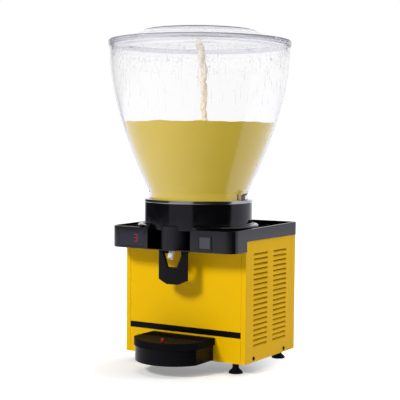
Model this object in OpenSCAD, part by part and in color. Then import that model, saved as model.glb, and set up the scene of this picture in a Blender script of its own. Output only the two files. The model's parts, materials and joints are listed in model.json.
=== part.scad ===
// Counter-top cold drink dispenser. Millimetres, +Z up, front towards -Y.
// The origin lies on the floor, under the axis of the bowl.

/* [Cabinet] */
// Width over the side panels
cab_w = 280; // [260:1:320]
// Depth from the front panel to the rear panel
cab_d = 214.5; // [205:0.5:280]
// Height of the side panels below the head
cab_h = 240; // [230:1:300]
// Head in front of the front panel
overhang = 60; // [52:1:62]
// Thickness of the sheet steel
sheet = 1.5; // [1:0.1:2]
// Width of the side panels' front return flange
flange_w = 10; // [6:0.5:16]
// Width of the rear panel's folds round the sides
rear_wrap = 17; // [12:0.5:20]
// Height of the bare black strip on the front panel
strip_h = 12; // [6:1:20]
// Height of the strip's lower edge above the base
strip_z = 50.4; // [48:0.2:80]

/* [Feet] */
// Height of the base above the floor
foot_h = 21; // [18:1:40]
// Radius of a foot's base
foot_r = 14; // [10:0.5:18]
// Radius of a foot's stud
stud_r = 4; // [3:0.25:5]
// Distance of the feet from the cabinet's sides
foot_inset_x = 29; // [20:1:40]
// Distance of the feet from the cabinet's front and rear
foot_inset_y = 15.5; // [14:0.5:40]

/* [Louvres] */
// Number of louvres in a column
louvre_count = 19; // [6:1:20]
// Distance from one louvre to the next
louvre_pitch = 10; // [8:0.5:11]
// Length of a louvre
louvre_len = 58; // [40:1:64]
// Height of a louvre's opening
louvre_h = 5; // [3:0.5:6]
// Depth of a louvre's pressed tongue
louvre_depth = 4; // [2:0.5:6]
// Distance between the two columns
louvre_gap = 25; // [14:1:34]

/* [Head] */
// Head in front of the collar
head_lip = 3; // [1:0.5:7]
// Plan radius of the head's front
head_front_r = 2000; // [1500:50:3000]
// Plan radius of the head's front corners
head_corner_r = 22; // [14:0.5:24]
// Plan radius of the head's rear corners
head_rear_r = 8; // [5:0.5:12]
// Overhang of the head beyond the panels
head_side = 2.4; // [2.3:0.1:6]
// Wall of the head
head_wall = 2; // [1.8:0.1:2.1]
// Depth of the front pods below the cabinet's top
head_drop = 20.5; // [16:0.5:24]
// Height of the deck above the cabinet's top
head_deck = 18; // [16:0.5:24]
// Width of the rim round the deck
rim_w = 4; // [3:0.5:8]
// Height of the rim at the front
rim_front = 4; // [2:0.5:8]
// Height of the rim at the rear
rim_rear = 9; // [4:0.5:12]
// Width of the niche that the tap stands in
niche_w = 98; // [88:1:102]
// Back wall of the niche in front of the front panel
niche_step = 6; // [5.5:0.1:8]

/* [Display and switch] */
// Distance of the display's middle to the left of the bowl axis
display_x = 89; // [86:0.5:92]
// Width of the display window
display_w = 59.5; // [50:0.5:60]
// Height of the display window
display_h = 28; // [22:0.5:30]
// Height of the display's digit
digit_h = 15; // [8:0.5:18]
// Distance of the switch's middle to the right of the bowl axis
switch_x = 81.5; // [74:0.5:90]
// Width of the switch bezel
switch_w = 30; // [28:0.5:34]
// Height of the switch bezel
switch_h = 29; // [26:0.5:32]
// Swing of the rocker between its two states
rocker_swing = 20; // [12:1:22]

/* [Tap] */
// Tap behind the front of the head
tap_back = 26; // [24:0.5:28]
// Outside radius of the tap housing
tap_r = 28.4; // [27:0.2:30]
// Wall of the tap housing
tap_wall = 2.3; // [1.6:0.1:2.4]
// Height of the tap housing
tap_h = 48; // [46:0.5:50]
// Width of the lever's paddle
lever_w = 66; // [60:1:72]
// Drop of the lever below the head
lever_drop = 67.7; // [55:0.1:80]
// Thickness of the lever
lever_t = 8; // [6:0.5:9]
// Radius of the lever pin
lever_pin_r = 2.5; // [2:0.1:3]
// Outside radius of the spout
spout_r = 5.75; // [5.5:0.25:8]
// Bore radius of the spout
spout_bore = 4.5; // [3:0.25:5]
// Forward lean of the spout
spout_lean = 26; // [15:1:30]
// Drop of the spout below the head
spout_drop = 16.5; // [12:0.5:24]
// Radius of the plunger
plunger_r = 6; // [5:0.25:6.5]

/* [Collar] */
// How far the collar stands out past the bowl's neck
collar_lap = 9; // [7:0.5:12]
// Height of the collar above the deck
collar_h = 52; // [50:0.5:60]
// Wall of the collar
collar_wall = 3; // [2:0.1:4]
// Width of the collar's stepped base ring
collar_base_w = 13.2; // [10:0.2:16]
// Height of the collar's stepped base ring
collar_base_h = 12; // [9:0.5:14]
// Height of the steel ring
ring_h = 6.6; // [4:0.2:10]

/* [Bowl] */
// Outside radius of the bowl's neck
neck_r = 100; // [98:0.5:101]
// Outside radius of the bowl's mouth
mouth_r = 182; // [170:1:200]
// Overhang of the bowl's rim beyond its mouth
rim_over = 2; // [1:0.25:6]
// Height of the straight neck above the steel ring
neck_h = 12.4; // [8:0.2:20]
// Height of the flared wall
flare_h = 297; // [260:1:340]
// Wall of the bowl
bowl_wall = 3.2; // [2:0.1:4]
// Height of the drink above the foot of the flared wall
drink_h = 142; // [139:1:230]

/* [Lid] */
// Wall of the lid
lid_wall = 2.5; // [2:0.1:3]
// Radius of the lid's raised disc
disc_r = 114; // [80:1:130]
// Height of the lid above its rim's lower edge
lid_h = 25.5; // [20:0.5:40]
// Height of the lid's rim
lid_rim_h = 5.5; // [4.5:0.5:10]
// Depth of the skirt that enters the bowl
lid_skirt = 14.5; // [8:0.5:24]

/* [Evaporator and pump] */
// Radius of the evaporator dome
evap_r = 70; // [60:1:76]
// Height of the evaporator dome
evap_h = 102; // [95:1:110]
// Number of turns of the evaporator coil
coil_turns = 6; // [4:1:6]
// Radius of the evaporator coil's tube
coil_tube_r = 4; // [3:0.25:4.5]
// Radius of the pump motor
motor_r = 30; // [24:1:32]
// Radius of the impeller
impeller_r = 24; // [18:0.5:26]
// Radius of the spray tube
spray_r = 8; // [6:0.5:10]
// Height of the spray tube
spray_h = 46; // [30:1:48]
// Radius of the outlet hose
hose_r = 6; // [5:0.25:6]

/* [Drip tray] */
// Tray in front of the front panel
tray_out = 115; // [110:1:120]
// Width of the drip tray
tray_w = 146; // [130:1:156]
// Plan radius of the tray's front
tray_front_r = 79.5; // [78.2:0.1:100]
// Height of the tray's underside above the floor
tray_z = 23.5; // [22:0.5:25]
// Height of the tray's top above its underside
tray_h = 44.5; // [42:0.5:46]
// Wall of the tray and its grille
tray_wall = 2.2; // [1.6:0.1:2.6]
// Lift that frees the tray from its slots
tray_lift = 11; // [9:0.5:12]
// Radius of the float's red pin
float_r = 3.5; // [2.5:0.25:4]
// Height that the float's pin stands above the grille
float_show = 7.5; // [5:0.5:14]

/* [Cooling unit] */
// Radius of the compressor
comp_r = 56; // [45:1:60]
// Height of the compressor
comp_h = 150; // [120:1:170]
// Length of the condenser
cond_len = 150; // [146:1:156]
// Height of the condenser
cond_h = 170; // [154:2:190]
// Depth of the condenser
cond_d = 36; // [24:1:40]
// Radius of the fan
fan_r = 69; // [50:1:70]

/* [Hidden] */
$fn = 96;

// Clearances: between fixed pieces, between moving pieces, and of a running shaft
gap = 0.3;
free = 0.4;
run = 0.05;
// Overshoot of a cut past the face that it opens
cut = 1;

yellow = "#e4b40a";
black = "#121214";
steel = "#c4c6c8";
clear = "#e8eef0";
copper = "#b87333";
white = "#e6e6e2";

// Cabinet planes
cab_x = cab_w / 2;
collar_r = neck_r + collar_lap;
head_reach = collar_r + head_lip;
front_reach = head_reach - overhang;
niche_back = front_reach + niche_step;
tap_y = head_reach - tap_back;
tray_reach = front_reach + tray_out;
y_front = -front_reach;
y_rear = cab_d - front_reach;
z_base = foot_h;
z_floor = z_base + sheet;
z_top = z_base + cab_h;
// The side panels run on under the head's skirt, to a flange that carries the deck plate
tuck = 5;
top_flange_w = 14;
rear_flange_w = 20;
base_flange_h = 12;
screw_z = z_base + 7.4;
screw_front = 34.5;
screw_rear = 49.5;
screw_ys = [y_front + screw_front, y_rear - screw_rear];
screw_r = 2;
screw_head_r = 4.2;
screw_head_h = 2.2;
screw_grip = 2;

// Head planes
head_x = cab_x + head_side;
head_rear_y = y_rear + head_side;
front_c = head_front_r - head_reach;
// The tucked part of the panels stays clear of the head's rounded rear corners
tuck_x = head_x - head_rear_r;
tuck_y = head_rear_y - head_rear_r;
seam_y = y_rear - rear_wrap - gap;
joggle = sheet + gap;
z_head = z_top - head_drop;
z_deck = z_top + head_deck;
deck_t = head_wall;
rim_tilt = atan((rim_rear - rim_front) / (head_rear_y + head_reach));
// The front panel stops just above the pods' lower edge
z_panel = z_head + sheet;
niche_x = niche_w / 2;
pod_floor_t = 2;
front_z = (z_head + z_deck) / 2 - 0.5;
deck_hole_r = neck_r - 10;

// Tap: the housing, the tap body in it, and the lever on its pin
z_tap = z_head - 0.5;
z_tap_top = z_tap + tap_h;
z_ceiling = z_tap_top - tap_wall;
tap_inner = tap_r - tap_wall;
body_x = 13;
body_front = tap_y + 16;
z_body = z_head + 0.5;
body_h = 9;
chamber_y = niche_back + 14;
chamber_r = plunger_r + 5;
chamber_top = z_body + 13;
inlet_z = z_body + 8;
pivot_y = tap_y - 2;
pivot_z = z_body + 21;
lug_in = 9.5;
lug_t = 4;
ear_in = 18.5;
ear_out = tap_inner - 1.3;
ear_r = lever_pin_r + 4;
z_lever = z_head - lever_drop;
lever_y = tap_y + 5;
lever_chamfer_h = 8.7;
lever_flat = 12.5;
lever_facet = 4;
z_lever_top = z_tap - 1.5;
window_z = z_head - 34.5;
window_low = 12;
window_high = 24;
fork_top = pivot_z - 1;
fork_t = 4;
cross_r = 1.5;
cross_z = fork_top + cross_r + gap;
stem_r = 3;
prong_in = stem_r + 1;
prong_w = 5;
seat_r = 6;
z_seat = cross_z + cross_r + 1.5;
seat_t = 1.5;
spring_wire = 0.7;
spring_r = 5;
spring_turns = 5;
spring_pitch = (z_ceiling - z_seat - seat_t - 2 * spring_wire - 0.2) / spring_turns;

// Collar, ring and what stands in them
z_collar = z_deck + collar_h;
z_ring = z_collar + ring_h;
collar_in = collar_r - collar_wall;
ledge_h = 5.5;
clip_w = 16;
clip_h = 14;
clip_t = 1.5;
evap_t = 1.5;
z_evap = z_collar - 14.5;
gasket_h = 6;
z_gasket = z_evap + evap_t;
z_bowl = z_gasket + gasket_h + gap;
gasket_in = neck_r - 8;
z_dome = z_gasket + evap_h;
dome_t = 1.2;
foam_h = 9;
coil_r = evap_r - dome_t - coil_tube_r;
coil_pitch = 12;
z_coil = z_gasket + 8;
// The coil ends half a turn from where it starts
coil_loops = coil_turns + 0.5;
pipe_r = 3.2;
line_xs = [coil_r, -(coil_r - coil_tube_r - pipe_r - 1)];
hose_y = niche_back - hose_r - head_wall - 1;
hose_out_y = (evap_r + gasket_in) / 2;
hose_z = z_tap_top + hose_r + 1;
hose_bore = spout_bore;

// Pump
z_motor = z_deck - deck_t;
motor_h = 59;
shaft_r = 3;
shaft_seat = 19;
magnet_r = impeller_r + 2;
magnet_h = 16;
z_magnet = z_dome - dome_t - 5 - magnet_h;
pump_in = impeller_r + 4;
pump_r = pump_in + 4;
pump_h = 18;
impeller_pin_r = 2.5;
impeller_h = 11;
hub_r = 8;
blade_t = 2;

// Bowl and lid
z_flare = z_ring + neck_h;
z_mouth = z_flare + flare_h;
bowl_steps = 28;
rim_t = 4;
rim_r = mouth_r + rim_over;
z_spray = z_dome + pump_h + spray_h;
z_drink = max(z_flare + drink_h, z_spray + 3);
z_lid = z_mouth + rim_t / 2 + gap;
lid_r = rim_r;
lug_count = 8;
lug_phase = -4.5;
lid_lug_w = 16;
lid_lug = 1;

// Drip tray
tray_c = tray_front_r - tray_reach;
tray_back = y_front - 1;
tray_lip = tray_wall + gap;
grille_t = 2.5;
grille_h = 14;
z_tray_top = tray_z + tray_h;
tray_floor = 2.5;
hook_x = 40;
hook_w = 16;
hook_z = z_base + 23.3;
hook_t = 4;
hook_drop = 8.3;
slot_w = 4;
slot_pitch = 9;
slot_rows = 7;
float_x = 12;
float_y = tray_reach - 19;
float_disc_r = 11;
float_disc_h = 8;

// Cooling unit
comp_x = cab_x - sheet - comp_r - 16;
comp_y = y_rear - sheet - comp_r - 34;
mount_h = 12;
mount_r = 9;
mount_span = comp_r - 11;
z_comp = z_floor + mount_h;
cond_x = -(cab_x - sheet - louvre_depth - 4);
cond_y = (y_front + y_rear) / 2 - cond_len / 2;
z_cond = z_floor;
fin_t = 1;
fin_pitch = 8;
cond_tube_r = 5;
fan_y = cond_y + cond_len / 2;
fan_z = z_cond + cond_h / 2;
shroud_t = 1.5;
shroud_x = cond_x + cond_d + gap;
fan_x = shroud_x + 8;
fan_depth = 14;
fan_hub_r = 18;
fan_blade_t = 1.6;
fan_blade_w = 28;
fan_motor_x = fan_x + fan_depth + 4;
fan_motor_r = 22;
fan_motor_len = 34;
fan_grip = 18;
fan_end = 2;
arm_r = fan_r + 5;
arm_t = 4;
drier_r = 10;
drier_len = 90;
drier_x = -20;
drier_y = y_rear - 34;
drier_z = z_floor + 40;
gland_x = -90;
gland_z = z_base + 34;
gland_bore = 4.2;

// Plan curve of the head's front, and a place on it turned to face outwards
function front_y(x) = front_c - sqrt(pow(head_front_r, 2) - pow(x, 2));
module on_front(x, z) {
    translate([x, front_y(x), z])
        rotate([0, 0, asin(x / head_front_r)])
            children();
}

// Outside radius of the bowl: a straight neck, then a quarter sine wave
function bowl_r(z) = neck_r + (mouth_r - neck_r) * sin(90 * max(0, min(1, (z - z_flare) / flare_h)));
function flare_zs(top) = [for (i = [0 : bowl_steps]) z_flare + (top - z_flare) * i / bowl_steps];

// Helical tube: points of its middle line, its rings and its least gap to itself
function helix_point(r, pitch, turn) = [r * cos(360 * turn), r * sin(360 * turn), pitch * turn];
function helix_ring(r, pitch, tube_r, turn, sides) =
    let (
        radial = [cos(360 * turn), sin(360 * turn), 0],
        along = [-2 * PI * r * sin(360 * turn), 2 * PI * r * cos(360 * turn), pitch],
        across = cross(along / norm(along), radial)
    )
    [for (k = [0 : sides - 1])
        helix_point(r, pitch, turn)
            + tube_r * (cos(360 * k / sides) * radial + sin(360 * k / sides) * across)];
function helix_gap(r, pitch, tube_r, turns, rings) =
    min([for (i = [0 : rings * (turns - 1)])
        norm(helix_point(r, pitch, i / rings + 1) - helix_point(r, pitch, i / rings)) - 2 * tube_r]);
module helix_tube(r, pitch, tube_r, turns, rings, sides) {
    n = rings * turns;
    points = [for (i = [0 : n]) each helix_ring(r, pitch, tube_r, i / rings, sides)];
    wall = [for (i = [0 : n - 1]) for (k = [0 : sides - 1])
        let (a = i * sides + k, b = i * sides + (k + 1) % sides)
        each [[a, a + sides, b + sides], [a, b + sides, b]]];
    first = [for (k = [1 : sides - 2]) [0, k, k + 1]];
    last = [for (k = [1 : sides - 2]) [n * sides, n * sides + k + 1, n * sides + k]];
    polyhedron(points, concat(wall, first, last));
}

// Round tube through a list of points, with a ball at every bend
module pipe(points, r) {
    for (i = [0 : len(points) - 2]) {
        step = points[i + 1] - points[i];
        translate(points[i])
            rotate([0, acos(step[2] / norm(step)), atan2(step[1], step[0])])
                cylinder(r = r, h = norm(step));
    }
    for (i = [1 : 1 : len(points) - 2])
        translate(points[i]) sphere(r = 1.06 * r);
}

module ring(outer, inner, h) {
    difference() {
        cylinder(r = outer, h = h, $fn = 180);
        translate([0, 0, -cut]) cylinder(r = inner, h = h + 2 * cut, $fn = 180);
    }
}

module box(low, high) {
    translate(low) cube(high - low);
}

module along_x(r, low, high) {
    translate([low, 0, 0]) rotate([0, 90, 0]) cylinder(r = r, h = high - low);
}

module along_y(r, low, high) {
    translate([0, high, 0]) rotate([90, 0, 0]) cylinder(r = r, h = high - low);
}

// Plan outline of the head: convex front, tangent corner arcs, small rear corners
module head_outline(inset) {
    a = head_x - inset;
    r = head_corner_r - inset;
    big = head_front_r - inset;
    rear = head_rear_y - inset;
    small = head_rear_r - inset;
    corner_y = front_c - sqrt(pow(big - r, 2) - pow(a - r, 2));
    tangent_x = (a - r) * big / (big - r);
    intersection() {
        translate([0, front_c]) circle(r = big, $fn = 720);
        translate([-tangent_x, -head_reach - cut]) square([2 * tangent_x, corner_y + head_reach + cut]);
    }
    for (side = [-1, 1]) {
        translate([side * (a - r), corner_y]) circle(r = r);
        translate([side * (a - small), rear - small]) circle(r = small);
    }
    translate([-a, corner_y]) square([2 * a, rear - small - corner_y]);
    translate([small - a, corner_y]) square([2 * (a - small), rear - corner_y]);
}

// Plan outline of the tap housing: round in front, straight back to the niche's wall
module tap_outline(grow) {
    translate([0, -tap_y]) circle(r = tap_r + grow);
    translate([-tap_r - grow, -tap_y]) square([2 * (tap_r + grow), tap_y - niche_back + grow]);
}

module tap_notch() {
    translate([0, 0, z_head - cut]) linear_extrude(z_tap_top + free - z_head + cut) tap_outline(free);
}

// Plan outline of the drip tray: an arc in front, straight sides and back
module tray_outline(inset) {
    half = tray_w / 2 - inset;
    intersection() {
        translate([0, tray_c]) circle(r = tray_front_r - inset, $fn = 240);
        translate([-half, -tray_reach - cut]) square([2 * half, tray_c + tray_reach + cut]);
    }
    translate([-half, tray_c - cut]) square([2 * half, tray_back - inset - tray_c + cut]);
}

// Cabinet
module base_plate() {
    x = cab_x - sheet;
    y0 = y_front + sheet;
    y1 = y_rear - sheet;
    color(steel) difference() {
        union() {
            box([-x, y0, z_base], [x, y1, z_floor + base_flange_h]);
            at_feet(z_floor) cylinder(r = stud_r + 4, h = base_flange_h - 2);
        }
        difference() {
            box([sheet - x, y0 + sheet, z_floor],
                [x - sheet, y1 - sheet, z_floor + base_flange_h + cut]);
            at_feet(z_floor) cylinder(r = stud_r + 4, h = base_flange_h - 2);
        }
        at_feet(z_base - cut) cylinder(r = stud_r + run, h = base_flange_h + 2 * cut + sheet);
        at_side_screws() along_x(screw_r + gap, -cut, 12);
        at_rear_screws() along_y(screw_r + gap, -12, cut);
    }
}

module at_feet(z) {
    for (x = [-1, 1]) for (y = [y_front + foot_inset_y, y_rear - foot_inset_y])
        translate([x * (cab_x - foot_inset_x), y, z]) children();
}

// Side screws: the local +X axis runs inwards from the panel's face
module at_side_screws() {
    for (side = [-1, 1]) for (y = screw_ys)
        translate([side * cab_x, y, screw_z]) mirror([side > 0 ? 1 : 0, 0, 0]) children();
}

module foot(side, y) {
    neck = 6.5;
    color(black) translate([side * (cab_x - foot_inset_x), y, 0]) union() {
        rotate_extrude() polygon([
            [0, 0], [foot_r, 0], [foot_r, 3], [foot_r - 2.5, 6], [neck + 1.5, 8.5], [neck, 12],
            [neck, foot_h - gap], [0, foot_h - gap]
        ]);
        cylinder(r = stud_r, h = z_floor + base_flange_h);
    }
}
module foot_front_left() { foot(-1, y_front + foot_inset_y); }
module foot_front_right() { foot(1, y_front + foot_inset_y); }
module foot_rear_left() { foot(-1, y_rear - foot_inset_y); }
module foot_rear_right() { foot(1, y_rear - foot_inset_y); }

module front_panel() {
    x = cab_x - flange_w - gap;
    color(yellow) difference() {
        box([-x, y_front, z_base], [x, y_front + sheet, z_panel]);
        for (side = [-1, 1])
            translate([side * hook_x, y_front - cut, hook_z - gap])
                translate([-hook_w / 2 - free, 0, 0])
                    cube([hook_w + 2 * free, sheet + 2 * cut, hook_t + tray_lift + 2 * free]);
    }
}

module black_strip() {
    x = cab_x - flange_w - gap;
    color(black) box([-x, y_front - 0.4, z_base + strip_z], [x, y_front, z_base + strip_z + strip_h]);
}

// One pressed louvre: a tongue bent inwards from its foot, open along its top. Local +X runs inwards.
module louvre_tongue(thick, length) {
    translate([0, length / 2, 0]) rotate([90, 0, 0]) linear_extrude(length) polygon([
        [0, -thick], [0, louvre_h], [louvre_depth + thick, louvre_h],
        [louvre_depth + thick, louvre_h - thick], [sheet, -thick]
    ]);
}
module louvre_cut(length) {
    translate([0, length / 2, 0]) rotate([90, 0, 0]) linear_extrude(length) polygon([
        [-cut, 0], [0, 0], [louvre_depth, louvre_h - sheet], [louvre_depth, louvre_h + cut / 5],
        [sheet, louvre_h + cut / 5], [sheet, louvre_h], [-cut, louvre_h]
    ]);
}
module at_louvres() {
    mid_y = (y_front + y_rear) / 2 - 5;
    mid_z = z_base + cab_h / 2 + 2;
    for (column = [-1, 1]) for (i = [0 : louvre_count - 1])
        translate([
            0,
            mid_y + column * (louvre_len + louvre_gap) / 2,
            mid_z + (i - (louvre_count - 1) / 2) * louvre_pitch - louvre_h / 2
        ]) children();
}

// Side panel drawn for the left, with +X inwards from its face
module side_panel() {
    y1 = y_rear - sheet;
    translate([-cab_x, 0, 0]) difference() {
        union() {
            box([0, y_front, z_base], [sheet, seam_y, z_top]);
            box([0, seam_y - sheet, z_base + 40], [joggle + sheet, seam_y, z_top]);
            box([joggle, seam_y - sheet, z_base + 40], [joggle + sheet, y1, z_top]);
            box([0, y_front, z_top - sheet], [sheet, seam_y, z_top + tuck]);
            box([0, seam_y - sheet, z_top], [sheet, tuck_y, z_top + tuck]);
            box([0, y_front, z_base], [flange_w, y_front + sheet, z_panel]);
            box([0, y_front + head_wall, z_top + tuck - sheet], [top_flange_w, tuck_y, z_top + tuck]);
            box([joggle, y1 - sheet, z_base + 40], [rear_flange_w, y1, z_top]);
            at_louvres() louvre_tongue(sheet, louvre_len + 2 * sheet);
        }
        at_louvres() louvre_cut(louvre_len);
        for (y = screw_ys)
            translate([0, y, screw_z]) along_x(screw_r + gap, -cut, sheet + cut);
        translate([cab_x, 0, 0]) at_rear_screws() along_y(screw_r + gap, -12, cut);
    }
}
module left_side_panel() { color(yellow) side_panel(); }
module right_side_panel() { color(yellow) mirror([1, 0, 0]) side_panel(); }

module at_rear_screws() {
    for (x = [-1, 1]) for (z = [z_base + 10, z_top - 30])
        translate([x * (cab_x - 12), y_rear, z]) children();
}

module rear_panel() {
    color(yellow) difference() {
        union() {
            box([-cab_x, y_rear - sheet, z_base], [cab_x, y_rear, z_top]);
            box([-tuck_x, y_rear - sheet, z_base], [tuck_x, y_rear, z_top + tuck]);
            for (side = [0, 1]) mirror([side, 0, 0])
                box([-cab_x, y_rear - rear_wrap, z_base], [sheet - cab_x, y_rear, z_top - gap]);
        }
        at_rear_screws() along_y(screw_r + gap, -sheet - cut, cut);
        translate([gland_x, y_rear, gland_z]) along_y(gland_bore + 3 + run, -sheet - cut, cut);
    }
}

module panel_screws() {
    color(black) at_side_screws() union() {
        along_x(screw_head_r, -screw_head_h, 0);
        along_x(screw_r, -screw_head_h / 2, 2 * sheet + screw_grip);
    }
}

module rear_screws() {
    color(black) at_rear_screws() union() {
        along_y(screw_head_r, 0, screw_head_h);
        along_y(screw_r, -2 * sheet - screw_grip, screw_head_h / 2);
    }
}

module cord_gland() {
    color(black) translate([gland_x, y_rear, gland_z]) difference() {
        union() {
            along_y(gland_bore + 3, -sheet - 6, 12);
            along_y(gland_bore + 6, 0, 5);
            along_y(gland_bore + 6, -sheet - 5, -sheet);
        }
        along_y(gland_bore, -sheet - 6 - cut, 12 + cut);
    }
}

// Head
module deck_plate() {
    x = cab_x - sheet - 0.5;
    y0 = motor_clamp_r() + 1.5;
    y1 = y_rear - sheet - 2;
    z = z_deck - deck_t;
    color(steel) {
        difference() {
            box([-x, -y0, z - sheet], [x, y1, z]);
            at_lines(z - sheet - cut) cylinder(r = pipe_r + gap, h = sheet + 2 * cut);
        }
        for (side = [-1, 1])
            translate([side * (x - sheet / 2) - sheet / 2, -y0, z_top + tuck])
                cube([sheet, y0 + y1, z - z_top - tuck - sheet / 2]);
    }
}

module display_pocket(grow, low, high) {
    on_front(-display_x, front_z)
        box([-display_w / 2 - grow, low, -display_h / 2 - grow],
            [display_w / 2 + grow, high, display_h / 2 + grow]);
}

module switch_pocket(grow, low, high) {
    on_front(switch_x, front_z)
        box([-switch_w / 2 - grow, low, -switch_h / 2 - grow],
            [switch_w / 2 + grow, high, switch_h / 2 + grow]);
}

module top_cover() {
    far = head_reach + 20;
    color(black) difference() {
        union() {
            translate([0, 0, z_top]) linear_extrude(head_deck + rim_rear) head_outline(0);
            translate([0, 0, z_head]) linear_extrude(head_drop + cut) intersection() {
                head_outline(0);
                translate([-head_x, -far]) square([2 * head_x, far + y_front]);
            }
        }
        translate([0, -head_reach, z_deck + rim_front]) rotate([rim_tilt, 0, 0])
            box([-2 * head_x, -far, 0], [2 * head_x, 2 * head_rear_y + far, 40]);
        translate([0, 0, z_deck]) linear_extrude(40) head_outline(rim_w);
        translate([0, 0, z_head - cut]) linear_extrude(z_deck - deck_t - z_head + cut) difference() {
            head_outline(head_wall);
            translate([-niche_x - head_wall, -far])
                square([niche_w + 2 * head_wall, far - niche_back + head_wall]);
        }
        box([-niche_x, -far, z_head + pod_floor_t], [niche_x, -niche_back, z_deck + 40]);
        translate([0, 0, z_head - cut]) linear_extrude(pod_floor_t + 2 * cut) intersection() {
            tap_outline(free);
            translate([-niche_x, -far]) square([niche_w, far - niche_back]);
        }
        display_pocket(0, -cut - 4, head_wall + 6);
        switch_pocket(-bezel_w, -cut - 4, head_wall + 6);
        translate([0, 0, z_deck - deck_t - cut]) cylinder(r = deck_hole_r, h = deck_t + 2 * cut);
        translate([0, 0, inlet_z])
            along_y(hose_r + gap, -niche_back - cut, -niche_back + head_wall + cut);
    }
}

module pod_floor() {
    inner = niche_x + head_wall + run;
    low_y = head_reach + 20;
    color(black) translate([0, 0, z_head]) linear_extrude(pod_floor_t) intersection() {
        head_outline(head_wall + run);
        for (side = [0, 1]) mirror([side, 0])
            translate([inner, -low_y]) square([head_x, low_y + y_front]);
    }
}

module collar_base() {
    r = collar_r + gap;
    w = collar_base_w;
    h = collar_base_h;
    color(black) intersection() {
        difference() {
            translate([0, 0, z_deck]) rotate_extrude($fn = 180) polygon([
                [r, 0], [r + w, 0], [r + w, h * 0.5], [r + w * 0.85, h * 0.71], [r + w * 0.47, h * 0.78],
                [r + w * 0.32, h * 0.62], [r + w * 0.17, h * 0.62], [r + w * 0.09, h], [r, h]
            ]);
            box([-niche_x, -head_reach, z_deck - cut], [niche_x, -niche_back, z_deck + 2 * h]);
        }
        translate([0, 0, z_deck - cut]) linear_extrude(2 * h) head_outline(rim_w + gap);
    }
}

module collar() {
    color(black) difference() {
        union() {
            translate([0, 0, z_deck]) ring(collar_r, collar_in, collar_h);
            translate([0, 0, z_evap - ledge_h]) ring(collar_in + 1, collar_in - 7, ledge_h);
        }
        tap_notch();
    }
}

module collar_insulation() {
    color("#d8cfa8") translate([0, 0, z_evap - ledge_h - foam_h]) difference() {
        ring(collar_in - gap, motor_r + 4, foam_h);
        translate([0, -hose_out_y, -cut]) cylinder(r = hose_r + gap, h = foam_h + 2 * cut);
        at_lines(-cut) cylinder(r = pipe_r + gap, h = foam_h + 2 * cut);
    }
}

module steel_ring() {
    color(steel) translate([0, 0, z_collar]) ring(collar_r + 0.7, neck_r + 0.6, ring_h);
}

// Sprung guide on each side of the ring, with a flared lip
module bowl_clips() {
    in = neck_r + 1.8;
    t = clip_t;
    h = clip_h;
    color(steel) for (side = [0, 1]) mirror([side, 0, 0])
        translate([0, clip_w / 2, z_ring]) rotate([90, 0, 0]) linear_extrude(clip_w) polygon([
            [in, 0], [collar_r, 0], [collar_r, t], [in + t, t], [in + t, h * 0.53],
            [in + h * 0.55, h - 0.7 * t], [in + h * 0.55 - 0.7 * t, h], [in, h * 0.53 + 0.5 * t]
        ]);
}

// Evaporator and pump
module at_lines(z) {
    for (x = line_xs) translate([x, 0, z]) children();
}

module evaporator() {
    color(steel) difference() {
        union() {
            translate([0, 0, z_evap]) cylinder(r = collar_in - gap, h = evap_t, $fn = 180);
            translate([0, 0, z_evap]) cylinder(r = evap_r, h = evap_t + evap_h, $fn = 180);
        }
        translate([0, 0, z_evap - cut])
            cylinder(r = evap_r - dome_t, h = evap_t + evap_h - dome_t + cut, $fn = 180);
        translate([0, -hose_out_y, z_evap - cut]) cylinder(r = hose_bore, h = evap_t + 2 * cut);
    }
}

module evaporator_coil() {
    color(copper) translate([0, 0, z_coil])
        helix_tube(coil_r, coil_pitch, coil_tube_r, coil_loops, 24, 6);
}

module bowl_gasket() {
    color("#3a3a3c") translate([0, 0, z_gasket]) ring(neck_r, gasket_in, gasket_h);
}

function motor_clamp_r() = motor_r + 10;
module motor_clamp() {
    color(steel) translate([0, 0, z_motor]) ring(motor_clamp_r(), motor_r + gap, 4);
}

module pump_motor() {
    color("#5a5c60") difference() {
        translate([0, 0, z_motor]) cylinder(r = motor_r, h = motor_h);
        translate([0, 0, z_motor + motor_h - shaft_seat])
            cylinder(r = shaft_r + run, h = shaft_seat + cut);
    }
}

module drive_magnet() {
    z0 = z_motor + motor_h - shaft_seat + gap;
    color("#303236") {
        translate([0, 0, z0]) cylinder(r = shaft_r, h = z_magnet - z0 + cut);
        translate([0, 0, z_magnet]) cylinder(r = magnet_r, h = magnet_h);
    }
}

module impeller_pin() {
    color(white) translate([0, 0, z_dome]) cylinder(r = impeller_pin_r, h = pump_h - 4);
}

module impeller() {
    blades = 6;
    color(white) translate([0, 0, z_dome + blade_t / 2]) difference() {
        union() {
            cylinder(r = impeller_r, h = blade_t);
            cylinder(r = hub_r, h = impeller_h);
            for (i = [0 : blades - 1]) rotate([0, 0, 360 * i / blades])
                box([hub_r - blade_t, -blade_t / 2, 0],
                    [impeller_r - blade_t / 2, blade_t / 2, 0.9 * impeller_h]);
        }
        translate([0, 0, -cut]) cylinder(r = impeller_pin_r + run, h = impeller_h + 2 * cut);
    }
}

module pump_cover() {
    windows = 4;
    color(white) translate([0, 0, z_dome]) difference() {
        union() {
            cylinder(r = pump_r, h = pump_h);
            cylinder(r = spray_r, h = pump_h + spray_h);
        }
        translate([0, 0, -cut]) cylinder(r = pump_in, h = pump_h - 3 + cut);
        cylinder(r = spray_r - 2.5, h = pump_h + spray_h + cut);
        for (i = [0 : windows - 1]) rotate([0, 0, 360 * i / windows + 45])
            box([0, -6, 3], [pump_r + cut, 6, pump_h - 6]);
    }
}

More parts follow.
